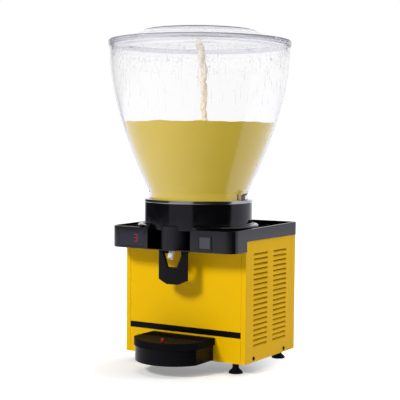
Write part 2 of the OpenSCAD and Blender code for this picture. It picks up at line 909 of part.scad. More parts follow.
module outlet_hose() {
    color("#d4d2c8") difference() {
        pipe([
            [0, -niche_back, inlet_z], [0, -hose_y, inlet_z], [0, -hose_y, hose_z],
            [0, -hose_out_y, hose_z], [0, -hose_out_y, z_evap]
        ], hose_r);
        translate([0, 0, inlet_z]) along_y(hose_bore, -niche_back - cut, -hose_y);
        translate([0, -hose_y, inlet_z]) cylinder(r = hose_bore, h = hose_z - inlet_z);
        translate([0, 0, hose_z]) along_y(hose_bore, -hose_out_y, -hose_y);
        translate([0, -hose_out_y, hose_z]) cylinder(r = hose_bore, h = z_evap - hose_z + cut);
    }
}

// Bowl, drink and lid
module bowl() {
    zs = flare_zs(z_mouth);
    outer = [for (z = zs) [bowl_r(z), z]];
    inner = [for (i = [bowl_steps : -1 : 0]) [bowl_r(zs[i]) - bowl_wall, zs[i]]];
    lug = [neck_r + 3.5, 10.5, 12.5];
    color(clear, 0.4) {
        rotate_extrude($fn = 180) polygon(concat(
            [[neck_r - bowl_wall, z_bowl], [neck_r, z_bowl]],
            [for (i = [0 : bowl_steps - 1]) outer[i]],
            [[bowl_r(z_mouth - rim_t), z_mouth - rim_t / 2], [rim_r, z_mouth - rim_t / 2],
             [rim_r, z_mouth + rim_t / 2], [mouth_r - bowl_wall, z_mouth + rim_t / 2]],
            inner
        ));
        for (side = [0, 1]) mirror([side, 0, 0]) difference() {
            translate([0, -clip_w / 2 - free - lug[1], z_ring + free]) cube(lug);
            translate([0, 0, z_bowl]) cylinder(r = neck_r - bowl_wall / 2, h = flare_h);
        }
    }
}

module drink() {
    zs = flare_zs(z_drink);
    c = gap;
    color("#cdbd5e", 0.95) rotate_extrude($fn = 180) polygon(concat(
        [[evap_r + c, z_gasket + c], [gasket_in - c, z_gasket + c], [gasket_in - c, z_bowl],
         [neck_r - bowl_wall - c, z_bowl]],
        [for (z = zs) [bowl_r(z) - bowl_wall - c, z]],
        [[0, z_drink], [0, z_spray + c], [spray_r + c, z_spray + c],
         [spray_r + c, z_dome + pump_h + c], [pump_r + c, z_dome + pump_h + c], [pump_r + c, z_dome + c],
         [evap_r + c, z_dome + c]]
    ));
}

module lid() {
    skirt_r = mouth_r - bowl_wall - 1;
    top = z_lid + lid_h;
    rim_top = z_lid + lid_rim_h;
    color(clear, 0.4) {
        rotate_extrude($fn = 180) polygon([
            [0, top - lid_wall], [disc_r - lid_wall, top - lid_wall], [disc_r, top - 2 * lid_wall],
            [skirt_r - lid_wall, rim_top - lid_wall], [skirt_r - lid_wall, z_lid - lid_skirt],
            [skirt_r, z_lid - lid_skirt], [skirt_r, z_lid], [lid_r, z_lid], [lid_r, rim_top - 1],
            [lid_r - 1, rim_top], [skirt_r, rim_top], [disc_r + 3, top - 3.5], [disc_r, top], [0, top]
        ]);
        for (i = [0 : lug_count - 1]) rotate([0, 0, lug_phase + 360 * i / lug_count]) intersection() {
            translate([-lid_lug_w / 2, -lid_r - 5, z_lid + 1]) cube([lid_lug_w, 9, lid_rim_h - 2.5]);
            translate([0, 0, z_lid]) cylinder(r = lid_r + lid_lug, h = lid_rim_h, $fn = 180);
        }
    }
}

// Tap
module tap_housing() {
    color(black) difference() {
        translate([0, 0, z_tap]) linear_extrude(tap_h) tap_outline(0);
        translate([0, 0, z_tap - cut]) linear_extrude(tap_h - tap_wall + cut) {
            translate([0, -tap_y]) circle(r = tap_inner);
            translate([-tap_inner, -tap_y]) square([2 * tap_inner, tap_y - niche_back + cut]);
        }
    }
}

module tap_body() {
    ear = lever_pin_r + 2;
    color(white) difference() {
        union() {
            box([-body_x, -body_front, z_body], [body_x, -niche_back, z_body + body_h]);
            translate([0, -chamber_y, z_body]) cylinder(r = chamber_r, h = chamber_top - z_body);
            translate([0, 0, inlet_z]) along_y(hose_bore + 2, -chamber_y, -niche_back);
            for (side = [0, 1]) mirror([side, 0, 0]) {
                box([lug_in, -pivot_y - ear, z_body], [lug_in + lug_t, -pivot_y + ear, pivot_z]);
                translate([0, -pivot_y, pivot_z]) along_x(ear, lug_in, lug_in + lug_t);
            }
        }
        translate([0, -chamber_y, z_body + 1.7]) cylinder(r = plunger_r, h = 30);
        translate([0, 0, z_body + 4.5]) along_y(3.2, -spout_top_y(), -chamber_y);
        translate([0, 0, inlet_z]) along_y(hose_bore, -chamber_y, -niche_back + cut);
        translate([0, -pivot_y, pivot_z]) along_x(lever_pin_r, -body_x - cut, body_x + cut);
        translate([0, -spout_top_y(), z_body - cut]) cylinder(r = spout_bore - 0.5, h = 4.5 + cut);
    }
}

// The spout leans forward, from the underside of the tap body to its tip
spout_len = 40;
spout_reach = 19;
z_spout = z_head - spout_drop;
spout_tip_y = tap_y + spout_reach;
function spout_top_y() = spout_tip_y - (z_body - z_spout) * tan(spout_lean);
module spout() {
    color(white) difference() {
        translate([0, -spout_tip_y, z_spout]) rotate([-spout_lean, 0, 0]) difference() {
            cylinder(r = spout_r, h = spout_len);
            translate([0, 0, -cut]) cylinder(r = spout_bore, h = spout_len + 2 * cut);
        }
        box([-spout_len, -tap_y - spout_len, z_body], [spout_len, spout_len - tap_y, z_body + spout_len]);
    }
}

module lever_outline() {
    half = lever_w / 2;
    difference() {
        polygon([
            [-lever_flat, z_lever], [lever_flat, z_lever], [half, z_lever + lever_chamfer_h],
            [half, z_lever_top], [-half, z_lever_top], [-half, z_lever + lever_chamfer_h]
        ]);
        polygon([
            [-window_low, window_z], [window_low, window_z], [window_high, z_lever_top + cut],
            [-window_high, z_lever_top + cut]
        ]);
    }
}

module tap_lever() {
    half = lever_w / 2;
    front = lever_y + lever_t;
    ear_front = pivot_y + ear_r - 0.5;
    ear_back = pivot_y - ear_r - 1.5;
    ear_low = z_lever_top - 6.5;
    color(black) difference() {
        union() {
            intersection() {
                rotate([90, 0, 0]) linear_extrude(front + cut) lever_outline();
                translate([0, 0, z_lever - cut])
                    linear_extrude(z_lever_top - z_lever + 2 * cut) polygon([
                        [-half, -lever_y], [-half, -front + lever_facet], [-lever_flat, -front],
                        [lever_flat, -front], [half, -front + lever_facet], [half, -lever_y]
                    ]);
            }
            for (side = [0, 1]) mirror([side, 0, 0]) {
                box([ear_in, -ear_front, ear_low], [ear_out, -ear_back, pivot_z]);
                translate([0, -pivot_y, pivot_z]) along_x(ear_r - 0.5, ear_in, ear_out);
                box([prong_in, -ear_back - 3, fork_top - fork_t], [ear_in + cut, -ear_back, fork_top]);
                box([prong_in, -ear_back - cut, fork_top - fork_t],
                    [prong_in + prong_w, -chamber_y + 4 * cross_r, fork_top]);
                box([ear_in, -lever_y - lever_t / 2, ear_low], [ear_out, -ear_front + cut, z_lever_top]);
            }
        }
        translate([0, -pivot_y, pivot_z]) along_x(lever_pin_r + run, -ear_out - cut, ear_out + cut);
    }
}

module lever_pin() {
    color(steel) translate([0, -pivot_y, pivot_z])
        along_x(lever_pin_r, -tap_inner + 0.5, tap_inner - 0.5);
}

module tap_plunger() {
    color(white) translate([0, -chamber_y, 0]) difference() {
        union() {
            translate([0, 0, z_body + 2]) cylinder(r = plunger_r - run, h = 6);
            translate([0, 0, z_body + 2]) cylinder(r = stem_r, h = z_seat + seat_t - z_body - 2);
            translate([0, 0, z_seat]) cylinder(r = seat_r, h = seat_t);
        }
        translate([0, 0, cross_z]) along_x(cross_r, -stem_r - cut, stem_r + cut);
    }
}

module plunger_pin() {
    color(steel) translate([0, -chamber_y, cross_z])
        along_x(cross_r, -prong_in - prong_w, prong_in + prong_w);
}

module tap_spring() {
    color(steel) translate([0, -chamber_y, z_seat + seat_t + spring_wire + 0.1])
        helix_tube(spring_r, spring_pitch, spring_wire, spring_turns, 8, 6);
}

// Display and switch, in the plane of the pod's front; local -Y faces outwards
window_proud = -0.3;
digit_deep = 0.8;
digit_x = 11;
digit_z = 2;
module digit_bars(grow, low, high) {
    w = digit_h * 0.52;
    bar = digit_h * 0.1;
    for (z = [-1, 0, 1])
        box([digit_x - w / 2 - grow, low, digit_z + z * (digit_h - bar) / 2 - bar / 2 - grow],
            [digit_x + w / 2 + grow, high, digit_z + z * (digit_h - bar) / 2 + bar / 2 + grow]);
    box([digit_x + w / 2 - bar - grow, low, digit_z - digit_h / 2 - grow],
        [digit_x + w / 2 + grow, high, digit_z + digit_h / 2 + grow]);
}

module display_window() {
    color("#23252e") on_front(-display_x, front_z) difference() {
        box([-display_w / 2, -window_proud, -display_h / 2],
            [display_w / 2, head_wall - window_proud, display_h / 2]);
        digit_bars(0.1, -window_proud - cut, digit_deep);
    }
}

module display_digit() {
    color("#e0202a") on_front(-display_x, front_z) digit_bars(0, -window_proud - 0.05, digit_deep - 0.1);
}

module display_board() {
    y = head_wall - window_proud;
    color("#2d6a3a") on_front(-display_x, front_z) {
        box([-display_w / 2 + 2, y + 3.5, -display_h / 2 + 1],
            [display_w / 2 - 2, y + 5.1, display_h / 2 - 1]);
        box([digit_x - 11, y, digit_z - 10], [digit_x + 11, y + 3.6, digit_z + 8]);
    }
}

bezel_t = 1.8;
bezel_w = 2;
switch_wall = 1.2;
switch_deep = 18;
rocker_back = 3;
cavity_x = switch_w / 2 - bezel_w - switch_wall;
cavity_z = switch_h / 2 - bezel_w - switch_wall;
module switch_housing() {
    x = switch_w / 2;
    z = switch_h / 2;
    color(black) on_front(switch_x, front_z) difference() {
        union() {
            box([-x, -bezel_t, -z], [x, -0.05, z]);
            box([bezel_w - x, -bezel_t, bezel_w - z], [x - bezel_w, switch_deep, z - bezel_w]);
        }
        box([-cavity_x, -bezel_t - cut, -cavity_z], [cavity_x, 12, cavity_z]);
        translate([0, rocker_back, -z]) cylinder(r = 1.5, h = 2 * z);
    }
}

module switch_rocker() {
    half = cavity_x - 3 * free;
    high = cavity_z - free;
    color("#1c1c20") on_front(switch_x, front_z) translate([0, rocker_back, -high]) difference() {
        rotate([0, 0, rocker_swing / 2]) linear_extrude(2 * high) polygon([
            [-half, -5.6], [0, -4.6], [half, -5.6], [half, -1], [4, 4], [-4, 4], [-half, -1]
        ]);
        translate([0, 0, -cut]) cylinder(r = 1.5 + run, h = 2 * high + 2 * cut);
    }
}

module rocker_pin() {
    high = cavity_z + switch_wall - 0.2;
    color(steel) on_front(switch_x, front_z) translate([0, rocker_back, -high])
        cylinder(r = 1.5, h = 2 * high);
}

// Drip tray
module drip_tray() {
    rim = tray_lip;
    color(black) difference() {
        union() {
            translate([0, 0, tray_z]) linear_extrude(tray_h - grille_t - gap) tray_outline(rim);
            for (side = [-1, 1]) translate([side * hook_x - hook_w / 2, 0, 0]) {
                box([0, tray_back - rim - cut, hook_z],
                    [hook_w, y_front + sheet + gap + 2.2, hook_z + hook_t]);
                box([0, y_front + sheet + gap, hook_z - hook_drop],
                    [hook_w, y_front + sheet + gap + 2.2, hook_z + hook_t]);
            }
        }
        translate([0, 0, tray_z + tray_floor]) linear_extrude(tray_h) tray_outline(rim + tray_wall);
    }
}

module drip_grille() {
    slot_y0 = tray_back - 14 - 34;
    color(black) difference() {
        translate([0, 0, z_tray_top - grille_h]) linear_extrude(grille_h) tray_outline(0);
        translate([0, 0, z_tray_top - grille_h - cut]) linear_extrude(grille_h - grille_t + cut)
            tray_outline(tray_wall);
        for (i = [-slot_rows : slot_rows])
            translate([i * slot_pitch - slot_w / 2, slot_y0, z_tray_top - grille_t - cut])
                cube([slot_w, 34, grille_t + 2 * cut]);
        translate([float_x, -float_y, z_tray_top - grille_t - cut])
            cylinder(r = float_r + free, h = grille_t + 2 * cut);
    }
}

module tray_float() {
    z = tray_z + tray_floor + gap;
    color("#a81c22") translate([float_x, -float_y, 0]) {
        translate([0, 0, z]) cylinder(r = float_disc_r, h = float_disc_h);
        translate([0, 0, z]) cylinder(r = float_r, h = z_tray_top + float_show - z - float_r / 2);
        translate([0, 0, z_tray_top + float_show - float_r]) intersection() {
            sphere(r = float_r);
            cylinder(r = float_r + cut, h = float_r);
        }
        translate([0, 0, z_tray_top + float_show - float_r - cut]) cylinder(r = float_r, h = cut);
    }
}

// Cooling unit
module compressor() {
    plate = 2;
    color("#1a1a1c") translate([comp_x, comp_y, z_comp]) {
        box([-mount_span - mount_r, -mount_span - mount_r, 0],
            [mount_span + mount_r, mount_span + mount_r, plate]);
        rotate_extrude() polygon([
            [0, 0], [comp_r - 8, 0], [comp_r, 8], [comp_r, comp_h - 30], [comp_r - 6, comp_h - 14],
            [comp_r - 20, comp_h - 4], [0, comp_h]
        ]);
    }
}

module compressor_mounts() {
    color("#2a2a2a") for (x = [-1, 1]) for (y = [-1, 1])
        translate([comp_x + x * mount_span, comp_y + y * mount_span, z_floor])
            cylinder(r = mount_r, h = mount_h);
}

module condenser() {
    fins = floor((cond_len - 8) / fin_pitch);
    rows = 8;
    color("#9aa0a4") {
        for (i = [0 : fins]) translate([cond_x, cond_y + 4 + i * fin_pitch - fin_t / 2, z_cond])
            cube([cond_d, fin_t, cond_h]);
        for (i = [0 : rows - 1])
            translate([cond_x + cond_d / 2, 0, z_cond + cond_h * (i + 0.5) / rows])
                along_y(cond_tube_r, cond_y, cond_y + cond_len);
    }
}

module fan_shroud() {
    color(steel) difference() {
        box([shroud_x, cond_y, z_cond], [shroud_x + shroud_t, cond_y + cond_len, z_cond + cond_h]);
        translate([0, fan_y, fan_z]) along_x(fan_r + 2, shroud_x - cut, shroud_x + shroud_t + cut);
    }
}

module fan_motor() {
    arms = 3;
    reach = fan_motor_x - shroud_x - shroud_t;
    color("#4a4c50") translate([fan_motor_x, fan_y, fan_z]) difference() {
        union() {
            along_x(fan_motor_r, 0, fan_motor_len);
            for (i = [0 : arms - 1]) rotate([360 * i / arms + 90, 0, 0]) {
                box([0, fan_motor_r - 2, -arm_t], [arm_t, arm_r + arm_t, arm_t]);
                box([-reach, arm_r, -arm_t], [arm_t, arm_r + arm_t, arm_t]);
            }
        }
        along_x(shaft_r + run, -cut, fan_grip + fan_end);
    }
}

module condenser_fan() {
    blades = 5;
    color("#2c2c30") translate([fan_x, fan_y, fan_z]) {
        along_x(fan_hub_r, 0, fan_depth);
        along_x(shaft_r, fan_depth - cut, fan_motor_x - fan_x + fan_grip);
        for (i = [0 : blades - 1]) rotate([360 * i / blades, 0, 0]) intersection() {
            translate([fan_depth / 2, 0, 0]) rotate([0, 0, 28])
                box([-fan_blade_t / 2, -fan_blade_w / 2, fan_hub_r - fan_blade_t],
                    [fan_blade_t / 2, fan_blade_w / 2, fan_r + cut]);
            along_x(fan_r, 0, fan_depth);
        }
    }
}

module filter_drier() {
    color(copper) translate([drier_x, drier_y, drier_z]) {
        cylinder(r1 = pipe_r, r2 = drier_r, h = 8);
        translate([0, 0, 8]) cylinder(r = drier_r, h = drier_len - 16);
        translate([0, 0, drier_len - 8]) cylinder(r1 = drier_r, r2 = pipe_r, h = 8);
    }
}

// Discharge line to the condenser, liquid line to the drier, then the two lines of the evaporator
module refrigerant_pipes() {
    cx = cond_x + cond_d / 2;
    end_y = cond_y + cond_len + pipe_r;
    low_z = z_cond + cond_h * 3 / 16;
    high_z = z_cond + cond_h * 15 / 16;
    turn_z = z_top - 4;
    coil_end = z_coil + coil_pitch * coil_loops;
    comp_top = z_comp + comp_h;
    color(copper) {
        pipe([[comp_x, comp_y, comp_top], [comp_x, comp_y, high_z + 20], [cx, comp_y, high_z + 20],
            [cx, end_y, high_z + 20], [cx, end_y, high_z]], pipe_r);
        pipe([[cx, end_y, low_z], [drier_x, end_y, low_z], [drier_x, drier_y, low_z],
            [drier_x, drier_y, drier_z]], pipe_r);
        pipe([[drier_x, drier_y, drier_z + drier_len], [drier_x, drier_y, turn_z],
            [line_xs[1], 0, turn_z], [line_xs[1], 0, coil_end],
            [coil_tube_r - coil_r + gap, 0, coil_end]], pipe_r);
        pipe([[line_xs[0], 0, z_coil - coil_tube_r], [line_xs[0], 0, z_comp + 40],
            [line_xs[0], comp_y - comp_r - gap, z_comp + 40]], pipe_r);
    }
}

echo(spring_gap = helix_gap(spring_r, spring_pitch, spring_wire, spring_turns, 8));
echo(coil_gap = helix_gap(coil_r, coil_pitch, coil_tube_r, coil_loops, 24));

base_plate();
foot_front_left();
foot_front_right();
foot_rear_left();
foot_rear_right();
front_panel();
black_strip();
left_side_panel();
right_side_panel();
rear_panel();
panel_screws();
rear_screws();
cord_gland();
deck_plate();
top_cover();
pod_floor();
collar_base();
collar();
collar_insulation();
steel_ring();
bowl_clips();
evaporator();
evaporator_coil();
bowl_gasket();
bowl();
drink();
lid();
motor_clamp();
pump_motor();
drive_magnet();
impeller_pin();
impeller();
pump_cover();
outlet_hose();
tap_housing();
tap_body();
spout();
tap_lever();
lever_pin();
tap_plunger();
plunger_pin();
tap_spring();
display_window();
display_digit();
display_board();
switch_housing();
switch_rocker();
rocker_pin();
drip_tray();
drip_grille();
tray_float();
compressor();
compressor_mounts();
condenser();
fan_shroud();
fan_motor();
condenser_fan();
filter_drier();
refrigerant_pipes();
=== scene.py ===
"""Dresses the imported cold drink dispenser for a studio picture. Laid out as an add-on, run as a script."""

import json
import math

import bmesh
import bpy
from mathutils import Matrix, Vector

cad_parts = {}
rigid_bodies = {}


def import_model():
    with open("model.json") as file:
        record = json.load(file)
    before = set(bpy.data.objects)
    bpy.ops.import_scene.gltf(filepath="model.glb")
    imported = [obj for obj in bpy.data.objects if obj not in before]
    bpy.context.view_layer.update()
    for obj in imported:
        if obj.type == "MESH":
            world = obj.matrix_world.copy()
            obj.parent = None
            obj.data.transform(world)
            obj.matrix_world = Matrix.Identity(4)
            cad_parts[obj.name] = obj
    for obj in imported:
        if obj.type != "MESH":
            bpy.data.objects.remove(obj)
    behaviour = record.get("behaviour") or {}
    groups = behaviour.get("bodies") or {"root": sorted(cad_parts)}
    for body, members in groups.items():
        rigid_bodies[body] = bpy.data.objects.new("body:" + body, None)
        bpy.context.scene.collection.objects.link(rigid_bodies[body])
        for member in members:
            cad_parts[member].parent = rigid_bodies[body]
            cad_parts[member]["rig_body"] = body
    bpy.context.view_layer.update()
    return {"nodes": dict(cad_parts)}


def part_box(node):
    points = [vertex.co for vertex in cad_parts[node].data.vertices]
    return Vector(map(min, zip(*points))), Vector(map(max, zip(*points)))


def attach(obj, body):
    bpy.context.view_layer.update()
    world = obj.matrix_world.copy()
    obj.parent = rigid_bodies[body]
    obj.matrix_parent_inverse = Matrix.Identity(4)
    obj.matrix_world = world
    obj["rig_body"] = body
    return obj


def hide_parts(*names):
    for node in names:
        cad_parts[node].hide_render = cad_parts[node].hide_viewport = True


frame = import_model()

bl_info = {
    "name": "Cold drink dispenser",
    "version": (1, 0, 0),
    "blender": (4, 5, 0),
    "location": "View3D > Sidebar > Dispenser",
    "description": "Builds the looks of a counter-top cold drink dispenser around its solids",
    "category": "Object",
}

MM = 0.001
# Edges of turned and joined meshes stay sharp where they turn more than this
CREASE = math.radians(40)
# A turned ring with a smaller radius than this is one point
ON_AXIS = 1e-6


def linear(code):
    """An sRGB hex colour as linear RGBA."""
    parts = [int(code[i:i + 2], 16) / 255 for i in (1, 3, 5)]
    return tuple(c / 12.92 if c <= 0.04045 else ((c + 0.055) / 1.055) ** 2.4 for c in parts) + (1.0,)


# Sizes and colours that a user would change


class CabinetLooks(bpy.types.PropertyGroup):
    panel_colour: bpy.props.FloatVectorProperty(
        name="Panel colour", description="Powder coat of the sheet panels", subtype="COLOR",
        size=4, min=0, max=1, default=linear("#F3BF00"))
    fold: bpy.props.FloatProperty(
        name="Fold radius", description="Radius of the panels' folded edges", unit="LENGTH", default=0.7 * MM)
    head_edge: bpy.props.FloatProperty(
        name="Head edge", description="Radius of the head's moulded edges", unit="LENGTH", default=1.9 * MM)


class BowlSizes(bpy.types.PropertyGroup):
    neck: bpy.props.FloatProperty(
        name="Neck radius", description="Outside radius of the straight neck",
        unit="LENGTH", default=100 * MM)
    mouth: bpy.props.FloatProperty(
        name="Mouth radius", description="Outside radius under the rim", unit="LENGTH", default=182 * MM)
    rim: bpy.props.FloatProperty(
        name="Rim radius", description="Outside radius of the rim", unit="LENGTH", default=184 * MM)
    wall: bpy.props.FloatProperty(
        name="Wall", description="Thickness of the clear wall", unit="LENGTH", default=3.2 * MM)
    flare_low: bpy.props.FloatProperty(
        name="Foot of the flare", description="Height where the neck starts to flare",
        unit="LENGTH", default=350 * MM)
    flare_high: bpy.props.FloatProperty(
        name="Top of the flare", description="Height of the mouth", unit="LENGTH", default=647 * MM)
    disc: bpy.props.FloatProperty(
        name="Lid disc", description="Radius of the lid's raised disc", unit="LENGTH", default=114 * MM)


class DrinkLooks(bpy.types.PropertyGroup):
    level: bpy.props.FloatProperty(
        name="Level", description="Height of the drink's surface", unit="LENGTH", default=492 * MM)
    colour: bpy.props.FloatVectorProperty(
        name="Drink colour", description="Cloudy drink in the bowl", subtype="COLOR",
        size=4, min=0, max=1, default=linear("#E4C845"))
    spray_width: bpy.props.FloatProperty(
        name="Jet width", description="Mean width of the jet", unit="LENGTH", default=13 * MM)
    drops: bpy.props.IntProperty(
        name="Drops", description="Drops per square metre of wall", default=9000, min=0)
    seed: bpy.props.IntProperty(name="Seed", description="Seed of the drops' places", default=7)


class StageLooks(bpy.types.PropertyGroup):
    key: bpy.props.FloatProperty(
        name="Key light", description="Power of the front softbox in watts", default=40)
    side: bpy.props.FloatProperty(
        name="Side light", description="Power of the right softbox in watts", default=14)
    top: bpy.props.FloatProperty(
        name="Top light", description="Power of the overhead softbox in watts", default=34)
    fill: bpy.props.FloatProperty(name="Fill", description="Strength of the even light", default=0.115)


class DispenserSettings(bpy.types.PropertyGroup):
    cabinet: bpy.props.PointerProperty(type=CabinetLooks)
    bowl: bpy.props.PointerProperty(type=BowlSizes)
    drink: bpy.props.PointerProperty(type=DrinkLooks)
    stage: bpy.props.PointerProperty(type=StageLooks)


# Materials


def add(tree, kind, links=None, **values):
    """Adds a node, sets its properties and inputs, and links its inputs. Returns the node."""
    node = tree.nodes.new(kind)
    for key, value in values.items():
        if hasattr(node, key):
            setattr(node, key, value)
        else:
            node.inputs[key.replace("_", " ")].default_value = value
    for key, socket in (links or {}).items():
        tree.links.new(socket, node.inputs[key])
    return node


def shader(name, colour, roughness, metallic=0.0, **sockets):
    """A new material with one Principled shader. Returns material, tree and shader."""
    material = bpy.data.materials.new(name)
    material.use_nodes = True
    tree = material.node_tree
    tree.nodes.clear()
    main = tree.nodes.new("ShaderNodeBsdfPrincipled")
    main.inputs["Base Color"].default_value = linear(colour) if isinstance(colour, str) else colour
    main.inputs["Roughness"].default_value = roughness
    main.inputs["Metallic"].default_value = metallic
    for key, value in sockets.items():
        main.inputs[key.replace("_", " ")].default_value = value
    add(tree, "ShaderNodeOutputMaterial", {"Surface": main.outputs[0]})
    return material, tree, main


def ripple(tree, main, size, strength, depth, stretch=(1, 1, 1), detail=2.0):
    """Bump of noise with grains of that size in metres."""
    place = add(tree, "ShaderNodeTexCoord")
    turn = add(tree, "ShaderNodeMapping", {"Vector": place.outputs["Object"]}, Scale=stretch)
    noise = add(tree, "ShaderNodeTexNoise", {"Vector": turn.outputs[0]}, Scale=1 / size, Detail=detail)
    bump = add(tree, "ShaderNodeBump", {"Height": noise.outputs["Fac"]}, Strength=strength, Distance=depth)
    tree.links.new(bump.outputs[0], main.inputs["Normal"])
    return noise


def smudge(tree, main, size, low, high):
    """Roughness that wanders between low and high over patches of that size."""
    place = add(tree, "ShaderNodeTexCoord")
    noise = add(tree, "ShaderNodeTexNoise", {"Vector": place.outputs["Object"]}, Scale=1 / size, Detail=3.0)
    span = add(tree, "ShaderNodeMapRange", {"Value": noise.outputs["Fac"]},
               From_Min=0.3, From_Max=0.7, To_Min=low, To_Max=high)
    tree.links.new(span.outputs[0], main.inputs["Roughness"])


def paint_louvre_shade(tree, main, colour, box):
    """Paints shade into a side panel's pressings, darker from a depth on, clear of its flanges."""
    shallow, deep, flange = 1.9 * MM, 3.7 * MM, 30 * MM
    (_, front, _), (side, rear, _) = box
    place = add(tree, "ShaderNodeTexCoord")
    axes = add(tree, "ShaderNodeSeparateXYZ", {0: place.outputs["Object"]})
    out = add(tree, "ShaderNodeMath", {0: axes.outputs["X"]}, operation="ABSOLUTE")
    depth = add(tree, "ShaderNodeMapRange", {"Value": out.outputs[0]},
                From_Min=side - deep, From_Max=side - shallow, To_Min=0.75, To_Max=0.0)
    field = add(tree, "ShaderNodeMath", {0: axes.outputs["Y"]}, operation="COMPARE")
    field.inputs[1].default_value = (front + rear) / 2
    field.inputs[2].default_value = (rear - front) / 2 - flange
    shade_amount = add(tree, "ShaderNodeMath", {0: depth.outputs[0], 1: field.outputs[0]}, operation="MULTIPLY")
    tint = add(tree, "ShaderNodeMix", {"Factor": shade_amount.outputs[0]}, data_type="RGBA")
    tint.inputs[6].default_value = colour
    # Painted shade: the louvres reach this dark brown at their deepest
    tint.inputs[7].default_value = linear("#3A1A06")
    tree.links.new(tint.outputs[2], main.inputs["Base Color"])


def powder_coat(colour, name="powder-coated sheet steel", pressed=None):
    # Polyester powder on sheet steel: even colour, satin, a faint orange peel about 2 mm across.
    # On a pressed panel, shade is painted into the louvres, so they are dark inside.
    material, tree, main = shader(name, colour, 0.38, Specular_IOR_Level=0.09)
    ripple(tree, main, 2.2 * MM, 0.10, 0.1 * MM)
    if pressed:
        paint_louvre_shade(tree, main, colour, pressed)
    return material


def gloss_abs():
    # ABS from a polished mould: deep black, mirror gloss, slow waves where the mould shrank.
    material, tree, main = shader("polish-moulded ABS, black", "#08080C", 0.07)
    ripple(tree, main, 45 * MM, 0.06, 0.4 * MM, detail=1.0)
    smudge(tree, main, 18 * MM, 0.05, 0.11)
    return material


def satin_abs(name="textured moulded ABS, black", colour="#101013", roughness=0.42, gloss=0.15):
    # ABS from an eroded mould: fine even grain that spreads and dulls the highlight.
    material, tree, main = shader(name, colour, roughness, Specular_IOR_Level=gloss)
    ripple(tree, main, 0.9 * MM, 0.12, 0.05 * MM)
    return material


def foil():
    # Vinyl strip: flat black, softer gloss than the head.
    return shader("vinyl foil, black", "#0B0B0C", 0.35, Specular_IOR_Level=0.1)[0]


def grey_rim(tree, main, radius, colour, clear, rim_colour, rim_clear):
    """Makes a clear wall greyer and less clear outside a radius, where its thick rim is."""
    place = add(tree, "ShaderNodeTexCoord")
    flat = add(tree, "ShaderNodeVectorMath", {0: place.outputs["Object"]}, operation="MULTIPLY")
    flat.inputs[1].default_value = (1, 1, 0)
    far = add(tree, "ShaderNodeVectorMath", {0: flat.outputs[0]}, operation="LENGTH")
    rim = add(tree, "ShaderNodeMapRange", {"Value": far.outputs["Value"]},
              From_Min=radius, From_Max=radius + 0.5 * MM)
    tint = add(tree, "ShaderNodeMix", {"Factor": rim.outputs[0]}, data_type="RGBA")
    tint.inputs[6].default_value = linear(colour)
    tint.inputs[7].default_value = linear(rim_colour)
    pass_on = add(tree, "ShaderNodeMapRange", {"Value": rim.outputs[0]}, To_Min=clear, To_Max=rim_clear)
    tree.links.new(tint.outputs[2], main.inputs["Base Color"])
    tree.links.new(pass_on.outputs[0], main.inputs["Transmission Weight"])


def clear_wall(rim):
    # Blown polycarbonate: clear, with slow waves in the wall and a greyer rolled rim.
    material, tree, main = shader("blow-moulded polycarbonate, clear", "#FFFFFF", 0.01, IOR=1.36)
    ripple(tree, main, 60 * MM, 0.03, 0.6 * MM, detail=1.0)
    grey_rim(tree, main, rim, "#FFFFFF", 1.0, "#D2D2DA", 0.85)
    return material


def clear_lid(rim):
    # Injection-moulded polycarbonate: clear, a little milky from handling, greyer and less clear in the rim.
    material, tree, main = shader("injection-moulded polycarbonate, clear", "#FDFDFF", 0.05, IOR=1.18)
    grey_rim(tree, main, rim, "#FDFDFF", 0.97, "#DDDCE4", 0.6)
    return material


def cloudy_drink(colour):
    # Cloudy fruit drink: light spreads in it, and a painted glow stands in for the pale room's light coming
    # through it; slow bands of pulp.
    material, tree, main = shader("cloudy fruit drink", colour, 0.28,
                                  Subsurface_Weight=0.7, Subsurface_Radius=(0.030, 0.022, 0.008),
                                  Emission_Color=colour, Emission_Strength=0.35)
    place = add(tree, "ShaderNodeTexCoord")
    noise = add(tree, "ShaderNodeTexNoise", {"Vector": place.outputs["Object"]},
                Scale=1 / (70 * MM), Detail=2.0)
    mix = add(tree, "ShaderNodeMix", {"Factor": noise.outputs["Fac"]}, data_type="RGBA")
    mix.inputs[6].default_value = tuple(c * 0.48 for c in colour[:3]) + (1.0,)
    mix.inputs[7].default_value = tuple(c * 0.56 for c in colour[:3]) + (1.0,)
    tree.links.new(mix.outputs[2], main.inputs["Base Color"])
    return material


def sprayed_drink():
    # Aerated drink in the air: paler than in the bowl, wet.
    material, tree, main = shader("aerated fruit drink", "#D8CFC3", 0.3)
    ripple(tree, main, 7 * MM, 0.2, 0.8 * MM)
    return material


def wet_film():
    # Drops on the wall: clear water with a trace of drink.
    return shader("drops on a clear wall", "#FBFBFF", 0.04, IOR=1.2, Transmission_Weight=1.0)[0]


def polished_steel():
    # Rolled stainless strip, polished along its length: fine streaks round the ring.
    material, tree, main = shader("polished stainless strip", "#C4C3C1", 0.12, 1.0)
    ripple(tree, main, 1.2 * MM, 0.06, 0.05 * MM, stretch=(0.1, 0.1, 4))
    return material


def spring_steel():
    # Blued spring strip: dark grey, half gloss.
    return shader("blued spring steel", "#66666C", 0.3, 1.0)[0]


def plain_steel():
    # Zinc-plated sheet: dull silver with a soft bloom.
    material, tree, main = shader("zinc-plated sheet steel", "#A9ABAA", 0.38, 1.0)
    smudge(tree, main, 12 * MM, 0.3, 0.46)
    return material


def copper_tube():
    # Drawn copper tube, lightly tarnished.
    material, tree, main = shader("drawn copper tube", "#B66B45", 0.3, 1.0)
    smudge(tree, main, 9 * MM, 0.22, 0.42)
    return material


def fin_stock():
    # Mill-finish aluminium fins.
    return shader("mill-finish aluminium", "#B9BDC0", 0.35, 1.0)[0]


def enamel():
    # Stove enamel on a steel can: black, half gloss.
    return shader("stove enamel, black", "#17181A", 0.3)[0]


